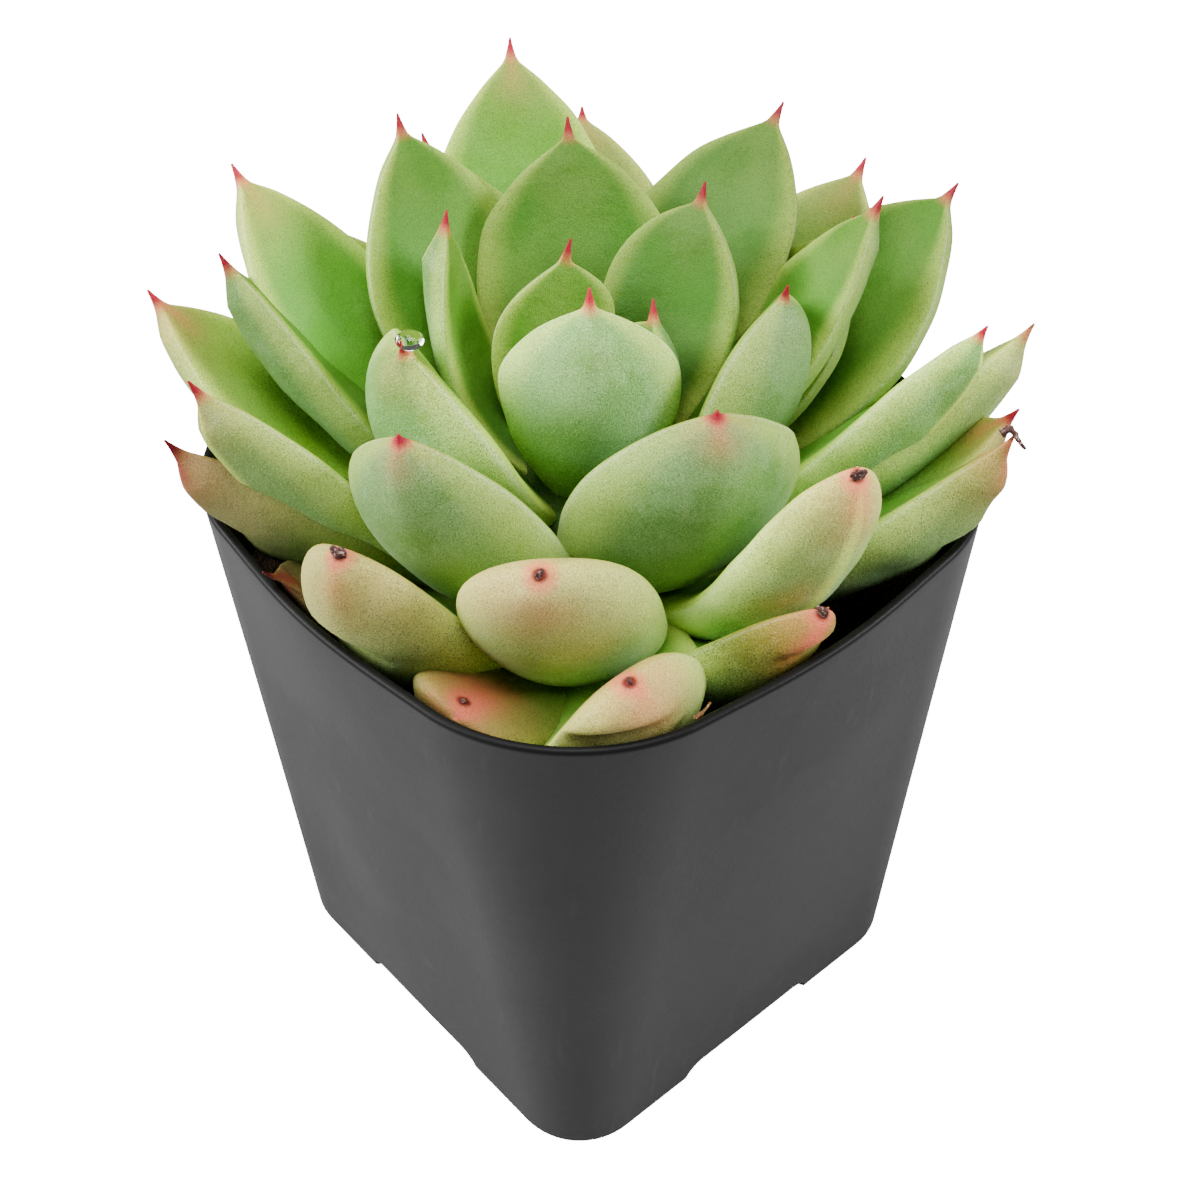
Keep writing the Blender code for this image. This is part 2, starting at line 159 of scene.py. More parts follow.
def join_shells(shells: Sequence[Shell]) -> Shell:
    """Several shells as one list of points and faces.

    Args:
        shells: Shells that carry the same marks.

    Returns:
        One shell that holds them all.
    """
    starts = np.cumsum([0] + [len(shell.points) for shell in shells[:-1]])
    return Shell(
        np.concatenate([shell.points for shell in shells]),
        np.concatenate([shell.quads + start for shell, start in zip(shells, starts)]),
        np.concatenate([shell.triangles + start for shell, start in zip(shells, starts)]),
        {name: np.concatenate([shell.marks[name] for shell in shells]) for name in shells[0].marks},
    )


def place_piece(name: str, shell: Shell, material: bpy.types.Material, smooth: bool = True):
    """Put a shell into the scene as a piece that rides on the part.

    Args:
        name: Name of the piece.
        shell: Its points, faces and marks.
        material: Its finish.
        smooth: Whether its faces are shaded as one curved skin.

    Returns:
        The new object.
    """
    mesh = bpy.data.meshes.new(name)
    mesh.from_pydata(shell.points.tolist(), [], shell.quads.tolist() + shell.triangles.tolist())
    for key, values in shell.marks.items():
        layer = mesh.color_attributes.new(name=key, type="FLOAT_COLOR", domain="POINT")
        layer.data.foreach_set("color", values.astype(np.float32).ravel())
    if smooth:
        mesh.shade_smooth()
    mesh.materials.append(material)
    piece = bpy.data.objects.new(name, mesh)
    bpy.context.scene.collection.objects.link(piece)
    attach(piece, "root")
    LOG.info("%s: %d points, %d faces", name, len(mesh.vertices), len(mesh.polygons))
    return piece


def tube_rings(path: np.ndarray, radii: np.ndarray, sides: int) -> np.ndarray:
    """Rings of a round tube: a circle carried along a path, square to the path's direction.

    Args:
        path: Points along the middle, in metres.
        radii: The radius at each point.
        sides: Points round each ring.

    Returns:
        Rings by sides by 3.
    """
    heading = np.gradient(path, axis=0)
    heading /= np.linalg.norm(heading, axis=1, keepdims=True)
    aside = np.cross(heading, np.array((0.31, 0.17, 0.93)))
    aside /= np.linalg.norm(aside, axis=1, keepdims=True)
    above = np.cross(heading, aside)
    turn = np.arange(sides) * TURN / sides
    circle = np.cos(turn)[None, :, None] * aside[:, None] + np.sin(turn)[None, :, None] * above[:, None]
    return path[:, None] + circle * radii[:, None, None]


def lumpy_ball(rows: int, around: int, lumps: float, seed: int) -> np.ndarray:
    """Ball of radius 1 about the origin, its radius uneven by a ripple.

    Args:
        rows: Rings from pole to pole.
        around: Points round each ring.
        lumps: Height of the unevenness.
        seed: Seed of the ripple.

    Returns:
        Rings by places by 3.
    """
    down = np.linspace(0.08, math.pi - 0.08, rows)[:, None]
    turn = (np.arange(around) * TURN / around)[None]
    ball = np.stack((np.sin(down) * np.cos(turn), np.sin(down) * np.sin(turn), np.cos(down) + 0 * turn), axis=-1)
    return ball * (1.0 + lumps * ripple(ball, 1.1, seed))[..., None]


# Shader graphs


class Graph:
    """Adds nodes to one node tree. A socket or a plain value may stand for any input."""

    def __init__(self, tree: bpy.types.NodeTree) -> None:
        """Work on a tree."""
        self.tree = tree

    def node(self, kind: str, inputs: dict | None = None, **settings) -> bpy.types.Node:
        """Add a node.

        Args:
            kind: Blender's name for the node type.
            inputs: Input name or index to a socket or a value.
            **settings: Properties of the node.

        Returns:
            The node.
        """
        made = self.tree.nodes.new(kind)
        for name, value in settings.items():
            setattr(made, name, value)
        for key, value in (inputs or {}).items():
            self.feed(made.inputs[key], value)
        return made

    def feed(self, socket: Socket, value) -> None:
        """Link a socket to an output, or give it a plain value."""
        if isinstance(value, Socket):
            self.tree.links.new(value, socket)
        elif isinstance(value, tuple) and len(value) == 3 and socket.type == "RGBA":
            socket.default_value = (*value, 1.0)
        else:
            socket.default_value = value

    def sum(self, operation: str, first, second=0.0, clamp: bool = False) -> Socket:
        """Arithmetic on two numbers, by the name of Blender's operation."""
        return self.node("ShaderNodeMath", {0: first, 1: second}, operation=operation, use_clamp=clamp).outputs[0]

    def ease(self, value, low: float, high: float, start: float = 0.0, end: float = 1.0) -> Socket:
        """Smooth ramp of a number: start at low, end at high, held beyond."""
        inputs = {"Value": value, "From Min": low, "From Max": high, "To Min": start, "To Max": end}
        return self.node("ShaderNodeMapRange", inputs, interpolation_type="SMOOTHSTEP").outputs[0]

    def mix(self, share, first, second, blend: str = "MIX") -> Socket:
        """Colour between two, by a share that is clamped to 0 and 1."""
        node = self.node("ShaderNodeMix", data_type="RGBA", blend_type=blend)
        for index, value in ((0, share), (6, first), (7, second)):
            self.feed(node.inputs[index], value)
        return node.outputs[2]

    def noise(self, place: Socket, pitch: float, detail: float = 2.0, rough: float = 0.5) -> Socket:
        """Cloudy noise, 0 to 1, whose features are about pitch metres across."""
        inputs = {"Vector": place, "Scale": 1.0 / pitch, "Detail": detail, "Roughness": rough}
        return self.node("ShaderNodeTexNoise", inputs).outputs["Fac"]

    def cells(self, place: Socket, pitch: float, jitter: float = 1.0) -> Socket:
        """Distance to the middle of the nearest cell, 0 to about 1, for cells of pitch metres."""
        inputs = {"Vector": place, "Scale": 1.0 / pitch, "Randomness": jitter}
        return self.node("ShaderNodeTexVoronoi", inputs).outputs["Distance"]

    def place(self) -> Socket:
        """Object coordinates, in metres."""
        return self.node("ShaderNodeTexCoord").outputs["Object"]

    def mark(self, name: str) -> tuple[Socket, Socket, Socket, Socket]:
        """The four numbers of one of the mesh's colour attributes."""
        read = self.node("ShaderNodeAttribute", attribute_name=name, attribute_type="GEOMETRY")
        parts = self.node("ShaderNodeSeparateColor", {"Color": read.outputs["Color"]})
        return (*parts.outputs[:3], read.outputs["Alpha"])

    def bump(self, height, distance: float, strength: float = 1.0, normal: Socket | None = None) -> Socket:
        """Normal tilted by a height that is distance metres at 1."""
        node = self.node("ShaderNodeBump", {"Height": height, "Distance": distance, "Strength": strength})
        if normal is not None:
            self.feed(node.inputs["Normal"], normal)
        return node.outputs["Normal"]

    def group(self, tree: bpy.types.NodeTree, inputs: dict) -> bpy.types.Node:
        """Place a node group with its own input values."""
        node = self.node("ShaderNodeGroup", node_tree=tree)
        for key, value in inputs.items():
            self.feed(node.inputs[key], value)
        return node


def new_group(name: str, inputs: dict[str, tuple[str, float]], outputs: dict[str, str]):
    """Start a shader node group.

    Args:
        name: Name of the group.
        inputs: Input name to its socket type and first value.
        outputs: Output name to its socket type.

    Returns:
        The graph to build in, its input node and its output node.
    """
    tree = bpy.data.node_groups.new(name, "ShaderNodeTree")
    for key, (kind, value) in inputs.items():
        socket = tree.interface.new_socket(name=key, in_out="INPUT", socket_type=kind)
        if kind == "NodeSocketFloat":
            socket.default_value = value
    for key, kind in outputs.items():
        tree.interface.new_socket(name=key, in_out="OUTPUT", socket_type=kind)
    graph = Graph(tree)
    return graph, graph.node("NodeGroupInput"), graph.node("NodeGroupOutput")


class Effects:
    """Node groups that several finishes share, each built once."""

    def __init__(self) -> None:
        """Build the groups."""
        self.speckle = self.make_speckle()
        self.mottle = self.make_mottle()

    @staticmethod
    def make_speckle() -> bpy.types.NodeTree:
        """Fine dots: the cores of small cells, thinned out where a wider noise is low."""
        graph, given, out = new_group(
            "fine_speckle",
            {"Place": ("NodeSocketVector", 0.0), "Pitch": ("NodeSocketFloat", 2500.0), "Cover": ("NodeSocketFloat", 0.5)},
            {"Dots": "NodeSocketFloat", "Grain": "NodeSocketFloat"},
        )
        place, pitch, cover = given.outputs[:3]
        cell = graph.node("ShaderNodeTexVoronoi", {"Vector": place, "Scale": pitch}).outputs["Distance"]
        wide = graph.sum("MULTIPLY", pitch, 0.16)
        patch = graph.node("ShaderNodeTexNoise", {"Vector": place, "Scale": wide, "Detail": 2.0}).outputs["Fac"]
        core = graph.ease(cell, 0.42, 0.16)
        thin = graph.ease(graph.sum("ADD", patch, graph.sum("SUBTRACT", cover, 0.5)), 0.35, 0.65)
        graph.feed(out.inputs["Dots"], graph.sum("MULTIPLY", core, thin))
        fine = graph.sum("MULTIPLY", pitch, 1.7)
        grain = graph.node("ShaderNodeTexNoise", {"Vector": place, "Scale": fine, "Detail": 3.0}).outputs["Fac"]
        graph.feed(out.inputs["Grain"], grain)
        return graph.tree

    @staticmethod
    def make_mottle() -> bpy.types.NodeTree:
        """Cloudy patches of two sizes: wide ones for broad changes of colour, and narrower ones that break their edges.
        """
        graph, given, out = new_group(
            "cloudy_mottle",
            {"Place": ("NodeSocketVector", 0.0), "Pitch": ("NodeSocketFloat", 120.0)},
            {"Wide": "NodeSocketFloat", "Broken": "NodeSocketFloat"},
        )
        place, pitch = given.outputs[:2]
        wide = graph.node("ShaderNodeTexNoise", {"Vector": place, "Scale": pitch, "Detail": 1.5}).outputs["Fac"]
        small = graph.sum("MULTIPLY", pitch, 6.0)
        near = graph.node("ShaderNodeTexNoise", {"Vector": place, "Scale": small, "Detail": 4.0}).outputs["Fac"]
        broken = graph.sum("ADD", wide, graph.sum("MULTIPLY", graph.sum("SUBTRACT", near, 0.5), 0.6))
        graph.feed(out.inputs["Wide"], graph.ease(wide, 0.3, 0.7))
        graph.feed(out.inputs["Broken"], graph.ease(broken, 0.38, 0.62))
        return graph.tree


def start_material(name: str) -> tuple[bpy.types.Material, Graph, bpy.types.Node]:
    """New material with its graph and its Principled shader.

    Args:
        name: Name of the material.

    Returns:
        The material, the graph and the shader node.
    """
    material = bpy.data.materials.new(name)
    material.use_nodes = True
    return material, Graph(material.node_tree), material.node_tree.nodes["Principled BSDF"]


@dataclass(frozen=True)
class LeafFinish:
    """Fleshy leaf skin: green flesh, powdery bloom, pale margins, red spines, and callus on old leaves.

    It reads three marks. "place" holds the share of the length, the share across, the share towards the upper
    face, and the distance from the tip or the callus over the reach of the leaf's red. "growth" holds age,
    blush, callus and a brightness scale that is partly the leaf's own colour and partly painted light and
    shadow. "form" holds the strength of the ridge line, of the white bloom and of the rubbed patch, and the
    leaf's share of warm light that has passed through it.
    """

    # Dark green low on the leaf: partly its own colour, partly painted shadow where the leaves crowd at the crown.
    deep_green_and_shade: Colour = (0.020, 0.095, 0.003)
    green: Colour = (0.055, 0.235, 0.007)
    lime: Colour = (0.23, 0.46, 0.004)
    glaucous: Colour = (0.25, 0.46, 0.155)
    frost: Colour = (0.54, 0.68, 0.44)
    rubbed: Colour = (0.20, 0.24, 0.014)
    cream: Colour = (0.82, 0.66, 0.20)
    beige: Colour = (0.60, 0.39, 0.15)
    margin: Colour = (0.60, 0.78, 0.12)
    rim: Colour = (0.86, 0.90, 0.62)
    blush: Colour = (0.78, 0.17, 0.09)
    crimson: Colour = (0.40, 0.010, 0.030)
    callus: Colour = (0.16, 0.015, 0.010)
    speck: Colour = (0.050, 0.12, 0.028)
    roughness: float = 0.55
    subsurface: float = 0.12

    def build(self, effects: Effects) -> bpy.types.Material:
        """Make the material.

        Args:
            effects: The shared node groups.

        Returns:
            The material.
        """
        material, graph, shader = start_material("leaf_skin")
        place = graph.place()
        along, across, upper, tip = graph.mark("place")
        age, blush, callus, tone = graph.mark("growth")
        ridge, white, bare, glow = graph.mark("form")
        speckle = graph.group(effects.speckle, {"Place": place, "Pitch": 5600.0, "Cover": 0.60})
        mottle = graph.group(effects.mottle, {"Place": place, "Pitch": 150.0})
        drift = graph.group(effects.mottle, {"Place": place, "Pitch": 70.0})
        edge = graph.sum("MULTIPLY", graph.sum("ABSOLUTE", graph.sum("SUBTRACT", across, 0.5)), 2.0)
        belly = graph.ease(upper, 0.56, 0.44)
        colour = self.flesh(graph, along, edge, belly, glow, mottle, drift)
        colour = self.powder(graph, colour, along, edge, belly, white, mottle, drift)
        colour = self.weather(graph, colour, along, tip, age, bare, mottle, drift)
        colour = self.line(graph, colour, along, edge, upper, ridge, belly, age)
        colour = self.grain(graph, colour, along, belly, bare, speckle)
        colour = self.redden(graph, colour, edge, tip, blush, callus, mottle)
        uneven = graph.ease(speckle.outputs["Grain"], 0.32, 0.68, 0.80, 1.20)
        # Brightness scale of each leaf: partly its own colour, partly painted light and shadow, low on leaves lying in
        # shadow and high on well lit ones.
        value = graph.sum("MULTIPLY", tone, uneven)
        colour = graph.node("ShaderNodeHueSaturation", {"Color": colour, "Value": value}).outputs[0]
        graph.feed(shader.inputs["Base Color"], colour)
        rough = graph.sum("ADD", graph.sum("MULTIPLY", speckle.outputs["Grain"], 0.2), self.roughness - 0.1)
        graph.feed(shader.inputs["Roughness"], rough)
        fine = graph.bump(speckle.outputs["Grain"], 0.00008, 0.9)
        wide = graph.bump(mottle.outputs["Broken"], 0.00010, 0.5, fine)
        graph.feed(shader.inputs["Normal"], wide)
        shader.inputs["Specular IOR Level"].default_value = 0.22
        shader.inputs["Subsurface Weight"].default_value = self.subsurface
        shader.inputs["Subsurface Radius"].default_value = (0.8, 1.0, 0.35)
        shader.inputs["Subsurface Scale"].default_value = 0.0016
        return material

    def flesh(self, graph: Graph, along, edge, belly, glow, mottle, drift) -> Socket:
        """Green that darkens towards the root, more on the upper face, partly the leaf's own colour and partly painted
        shadow where the leaves crowd at the crown, with lime where light passes through the thinner outer part.
        """
        reach = graph.sum("ADD", along, graph.sum("MULTIPLY", belly, 0.30))
        body = graph.mix(graph.ease(reach, 0.32, 0.70), self.deep_green_and_shade, self.green)
        outer = graph.sum("ADD", graph.ease(along, 0.25, 0.6, 0.12, 0.40), graph.ease(edge, 0.5, 0.9, 0.0, 0.25))
        patch = graph.sum("MULTIPLY", mottle.outputs["Wide"], outer)
        patch = graph.sum("ADD", graph.sum("MULTIPLY", patch, drift.outputs["Wide"]), graph.sum("MULTIPLY", glow, outer))
        return graph.mix(patch, body, self.lime)

    def powder(self, graph: Graph, colour, along, edge, belly, white, mottle, drift) -> Socket:
        """Grey-green bloom, thin on the upper face and thick on the belly, nearly white low on outer leaves."""
        full = graph.ease(drift.outputs["Broken"], 0.0, 1.0, 0.50, 0.90)
        thin = graph.ease(mottle.outputs["Wide"], 0.0, 1.0, 0.02, 0.18)
        cover = graph.sum("ADD", thin, graph.sum("MULTIPLY", belly, graph.sum("SUBTRACT", full, thin)))
        colour = graph.mix(graph.sum("MULTIPLY", cover, graph.ease(along, 0.30, 0.62, 0.25, 1.0)), colour, self.glaucous)
        low = graph.sum("MULTIPLY", graph.ease(along, 0.80, 0.40), graph.sum("MULTIPLY", belly, white))
        colour = graph.mix(graph.sum("MULTIPLY", low, graph.ease(mottle.outputs["Wide"], 0.0, 1.0, 0.5, 1.0)), colour, self.frost)
        return graph.mix(graph.sum("MULTIPLY", graph.ease(edge, 0.62, 1.0), 0.55), colour, self.margin)

    def weather(self, graph: Graph, colour, along, tip, age, bare, mottle, drift) -> Socket:
        """Old leaves turn cream and beige in clouds, and show olive where their bloom is rubbed off."""
        outer = graph.sum("MULTIPLY", age, graph.ease(along, 0.62, 0.94, 0.05, 1.0))
        colour = graph.mix(graph.sum("MULTIPLY", outer, graph.ease(drift.outputs["Wide"], 0.0, 1.0, 0.55, 0.95)), colour, self.cream)
        cloud = graph.sum("MULTIPLY", graph.sum("MULTIPLY", age, mottle.outputs["Wide"]), graph.ease(tip, 3.2, 0.6, 0.0, 0.45))
        colour = graph.mix(cloud, colour, self.beige)
        patch = graph.sum("MULTIPLY", graph.ease(tip, 3.6, 1.6), graph.ease(mottle.outputs["Wide"], 0.0, 0.7, 0.45, 0.9))
        return graph.mix(graph.sum("MULTIPLY", patch, bare), colour, self.rubbed)

    def line(self, graph: Graph, colour, along, edge, upper, ridge, belly, age) -> Socket:
        """Thin bright line along both margins of young leaves, and a soft pale one along the keel of keeled ones."""
        fold = graph.sum("ABSOLUTE", graph.sum("SUBTRACT", upper, 0.5))
        thin = graph.sum("MULTIPLY", graph.ease(fold, 0.06, 0.0), graph.ease(along, 0.30, 0.60, 0.0, 0.26))
        young = graph.sum("SUBTRACT", 1.0, age, clamp=True)
        colour = graph.mix(graph.sum("MULTIPLY", thin, young), colour, self.rim)
        keel = graph.sum("MULTIPLY", graph.ease(edge, 0.22, 0.03), graph.sum("MULTIPLY", belly, ridge))
        return graph.mix(graph.sum("MULTIPLY", keel, graph.ease(along, 0.3, 0.6)), colour, self.margin)

    def grain(self, graph: Graph, colour, along, belly, bare, speckle) -> Socket:
        """Fine dark dots where the green shows between the grains of bloom, closer on rubbed and outer parts."""
        close = graph.sum("ADD", graph.ease(along, 0.35, 0.8, 0.25, 0.50), graph.sum("MULTIPLY", bare, 0.45))
        colour = graph.mix(graph.sum("MULTIPLY", speckle.outputs["Dots"], close), colour, self.speck)
        pale = graph.sum("MULTIPLY", graph.ease(speckle.outputs["Grain"], 0.50, 0.72), belly)
        return graph.mix(graph.sum("MULTIPLY", pale, 0.16), colour, self.rim)

    def redden(self, graph: Graph, colour, edge, tip, blush, callus, mottle) -> Socket:
        """Red spine and a pink streak under it on young leaves, and a flushed callus on old ones."""
        middle = graph.ease(edge, 0.7, 0.0, 0.35, 1.0)
        flush = graph.sum("MULTIPLY", graph.ease(tip, 2.6, 0.3), graph.ease(mottle.outputs["Wide"], 0.0, 1.0, 0.5, 0.9))
        flush = graph.sum("MULTIPLY", graph.sum("MULTIPLY", flush, blush), middle)
        colour = graph.mix(flush, colour, self.blush)
        young = graph.sum("SUBTRACT", 1.0, callus, clamp=True)
        pink = graph.sum("MULTIPLY", graph.ease(tip, 0.90, 0.45), young)
        colour = graph.mix(graph.sum("MULTIPLY", pink, 0.7), colour, self.blush)
        spine = graph.sum("MULTIPLY", graph.ease(tip, 0.66, 0.30), young)
        colour = graph.mix(spine, colour, self.crimson)
        ring = graph.sum("MULTIPLY", graph.ease(tip, 0.62, 0.20), callus)
        colour = graph.mix(graph.sum("MULTIPLY", ring, 0.8), colour, self.blush)
        spot = graph.sum("MULTIPLY", graph.ease(tip, 0.26, 0.12), callus)
        return graph.mix(spot, colour, self.callus)


@dataclass(frozen=True)
class ScabFinish:
    """Dried plant skin: brown and flaky, with paler cracks."""

    dark: Colour = (0.055, 0.012, 0.008)
    pale: Colour = (0.46, 0.33, 0.27)
    name: str = "dried_skin"

    def build(self, effects: Effects) -> bpy.types.Material:
        """Make the material.

        Args:
            effects: The shared node groups; not used.

        Returns:
            The material.
        """
        material, graph, shader = start_material(self.name)
        place = graph.place()
        flake = graph.noise(place, 0.00022, 3.0, 0.6)
        graph.feed(shader.inputs["Base Color"], graph.mix(graph.ease(flake, 0.54, 0.66), self.dark, self.pale))
        graph.feed(shader.inputs["Roughness"], graph.ease(flake, 0.3, 0.7, 0.55, 0.85))
        graph.feed(shader.inputs["Normal"], graph.bump(flake, 0.00008, 0.8))
        return material


@dataclass(frozen=True)
class WaterFinish:
    """Clear water."""

    tint: Colour = (0.97, 1.0, 0.98)
    index: float = 1.33

    def build(self) -> bpy.types.Material:
        """Make the material: clear, with a roughness that barely wavers, as on a dusty drop."""
        material, graph, shader = start_material("water_drop")
        haze = graph.noise(graph.place(), 0.0004, 2.0)
        graph.feed(shader.inputs["Roughness"], graph.ease(haze, 0.3, 0.7, 0.01, 0.05))
        shader.inputs["Base Color"].default_value = (*self.tint, 1.0)
        shader.inputs["IOR"].default_value = self.index
        shader.inputs["Transmission Weight"].default_value = 1.0
        return material


@dataclass(frozen=True)
class PotFinish:
    """Satin charcoal plastic as moulded: a fine grain, faint clouds in the gloss, a few handling scuffs, and painted
    shadow that darkens the top of the rim.
    """

    colour: Colour = (0.047, 0.047, 0.047)
    worn: Colour = (0.075, 0.075, 0.073)
    # Near-black painted shadow for the top of the rim.
    painted_rim_shade: Colour = (0.006, 0.006, 0.006)
    roughness: float = 0.46
    rim_height: float = 0.0569

    def build(self, effects: Effects) -> bpy.types.Material:
        """Make the material.

        Args:
            effects: The shared node groups.

        Returns:
            The material.
        """
        material, graph, shader = start_material("charcoal_plastic_moulded")
        place = graph.place()
        speckle = graph.group(effects.speckle, {"Place": place, "Pitch": 1400.0, "Cover": 0.25})
        mottle = graph.group(effects.mottle, {"Place": place, "Pitch": 55.0})
        colour = graph.mix(graph.sum("MULTIPLY", mottle.outputs["Broken"], 0.12), self.colour, self.worn)
        colour = graph.mix(graph.sum("MULTIPLY", speckle.outputs["Dots"], 0.10), colour, self.worn)
        scuff = graph.ease(graph.noise(self.drawn_out(graph, place), 0.0011, 3.0), 0.60, 0.72, 0.0, 0.35)
        colour = graph.mix(graph.sum("MULTIPLY", scuff, mottle.outputs["Wide"]), colour, self.worn)
        # Painted shadow: over the top of the rim the colour goes to near black.
        height = graph.node("ShaderNodeSeparateXYZ", {"Vector": place}).outputs["Z"]
        rim = graph.ease(height, self.rim_height, self.rim_height + 0.0004)
        graph.feed(shader.inputs["Base Color"], graph.mix(rim, colour, self.painted_rim_shade))
        rough = graph.ease(mottle.outputs["Wide"], 0.0, 1.0, self.roughness - 0.04, self.roughness + 0.08)
        graph.feed(shader.inputs["Roughness"], rough)
        graph.feed(shader.inputs["Normal"], graph.bump(speckle.outputs["Grain"], 0.00003, 0.6))
        shader.inputs["Specular IOR Level"].default_value = 0.12
        return material

    @staticmethod
    def drawn_out(graph: Graph, place: Socket) -> Socket:
        """Place with its height squeezed, so that a noise read there runs in short upright streaks."""
        return graph.node("ShaderNodeVectorMath", {0: place, 1: (1.0, 1.0, 0.18)}, operation="MULTIPLY").outputs[0]


@dataclass(frozen=True)
class SoilFinish:
    """Moist peat and bark mix: dark crumb with paler fibres and grains of grit."""

    peat: Colour = (0.020, 0.013, 0.009)
    bark: Colour = (0.075, 0.042, 0.022)
    grit: Colour = (0.32, 0.28, 0.22)
    name: str = "peat_mix"
    gritty: float = 0.35

    def build(self, effects: Effects) -> bpy.types.Material:
        """Make the material.

        Args:
            effects: The shared node groups.

        Returns:
            The material.
        """
        material, graph, shader = start_material(self.name)
        place = graph.place()
        speckle = graph.group(effects.speckle, {"Place": place, "Pitch": 900.0, "Cover": 0.2})
        mottle = graph.group(effects.mottle, {"Place": place, "Pitch": 260.0})
        colour = graph.mix(mottle.outputs["Broken"], self.peat, self.bark)
        colour = graph.mix(graph.sum("MULTIPLY", speckle.outputs["Dots"], self.gritty), colour, self.grit)
        graph.feed(shader.inputs["Base Color"], colour)
        graph.feed(shader.inputs["Roughness"], graph.ease(mottle.outputs["Wide"], 0.0, 1.0, 0.75, 0.95))
        coarse = graph.bump(mottle.outputs["Broken"], 0.0006, 0.8)
        graph.feed(shader.inputs["Normal"], graph.bump(speckle.outputs["Grain"], 0.0003, 0.7, coarse))
        return material


# The plant


@dataclass(frozen=True)
class PotForm:
    """The pot's outline: a square with round corners and bowed sides that grows evenly from base to rim."""

    height: float = 0.0575
    rim_half: float = 0.0266
    base_half: float = 0.0218
    rim_corner: float = 0.0138
    base_corner: float = 0.0064
    bow: float = 0.071
    wall: float = 0.0008
    floor: float = 0.0016
    notch_width: float = 0.016
    notch_height: float = 0.0025
    notch_depth: float = 0.004

    def radius(self, azimuth: np.ndarray, height: np.ndarray, inset: float = 0.0) -> np.ndarray:
        """Distance from the axis to the outer face, less an inset.

        Each ray meets the straight side or the corner's arc, whichever lies in its direction, and the bow
        pushes the middle of every side out by the square of the cosine of twice the azimuth.

        Args:
            azimuth: Directions in radians.
            height: Heights above the base.
            inset: How far inside the outer face.

        Returns:
            Distances in metres.
        """
        share = np.clip(np.asarray(height) / self.height, 0.0, 1.0)
        half = self.base_half + (self.rim_half - self.base_half) * share - inset
        corner = self.base_corner + (self.rim_corner - self.base_corner) * share - inset
        folded = np.abs(np.mod(azimuth + math.pi / 4, math.pi / 2) - math.pi / 4)
        centre = half - corner
        side = half / np.cos(folded)
        along = centre * (np.cos(folded) + np.sin(folded))
        offset = centre * (np.cos(folded) - np.sin(folded))
        arc = along + np.sqrt(np.maximum(corner**2 - offset**2, 0.0))
        radius = np.where(side * np.sin(folded) <= centre, side, arc)
        return radius * (1.0 + self.bow * share * np.cos(2.0 * azimuth) ** 2)


POT = PotForm()


@dataclass(frozen=True)
class Habit:
    """How a kind of leaf is shaped.

    Attributes:
        thick: Half thickness over half width.
        widest: Where along its length the leaf is widest, 0 to 1.
        shoulder: How long the width holds before it closes, a power.
        round: How suddenly it closes, a power: a half is a round end.
        awn: Length of the spine at the tip, mm.
        foot: Radius of the spine where it leaves the leaf, mm.
        sag: How far the leaf has risen where it turns up, as a share of its rise.
        base: Width at the root over the full width.
        cup: How far the margins stand up, over the half width.
        keel: How far the belly's round turns into a keel at the tip.
        elbow: How sharply the leaf turns up, 1 for an even arc.
        top: How full the upper face is, over the half thickness.
        red: How far the red runs down from the tip, mm.
    """

    thick: float
    widest: float
    shoulder: float
    round: float
    awn: float
    foot: float
    sag: float
    base: float
    cup: float
    keel: float = 0.0
    elbow: float = 1.0
    top: float = 0.45
    red: float = 2.8


class Kind(Enum):
    """The kinds of leaf, by age and build."""

    YOUNG = Habit(0.34, widest=0.56, shoulder=2.3, round=0.90, awn=3.8, foot=1.30, sag=0.12, base=0.45, cup=0.14, keel=0.3)
    BROAD = Habit(0.38, widest=0.58, shoulder=2.2, round=0.82, awn=2.6, foot=1.15, sag=0.10, base=0.42, cup=0.12, keel=0.2, red=2.0)
    SOFT = Habit(0.38, widest=0.58, shoulder=2.2, round=0.82, awn=1.1, foot=0.62, sag=0.10, base=0.42, cup=0.12, keel=0.2, red=1.9)
    BLUNT = Habit(0.45, widest=0.60, shoulder=2.3, round=0.62, awn=0.8, foot=0.40, sag=0.05, base=0.42, cup=0.12, keel=0.15, elbow=1.6, top=0.6, red=3.0)
    STUBBY = Habit(0.42, widest=0.64, shoulder=2.8, round=0.52, awn=0.6, foot=0.35, sag=0.05, base=0.42, cup=0.14, elbow=2.0, top=0.85, red=3.0)


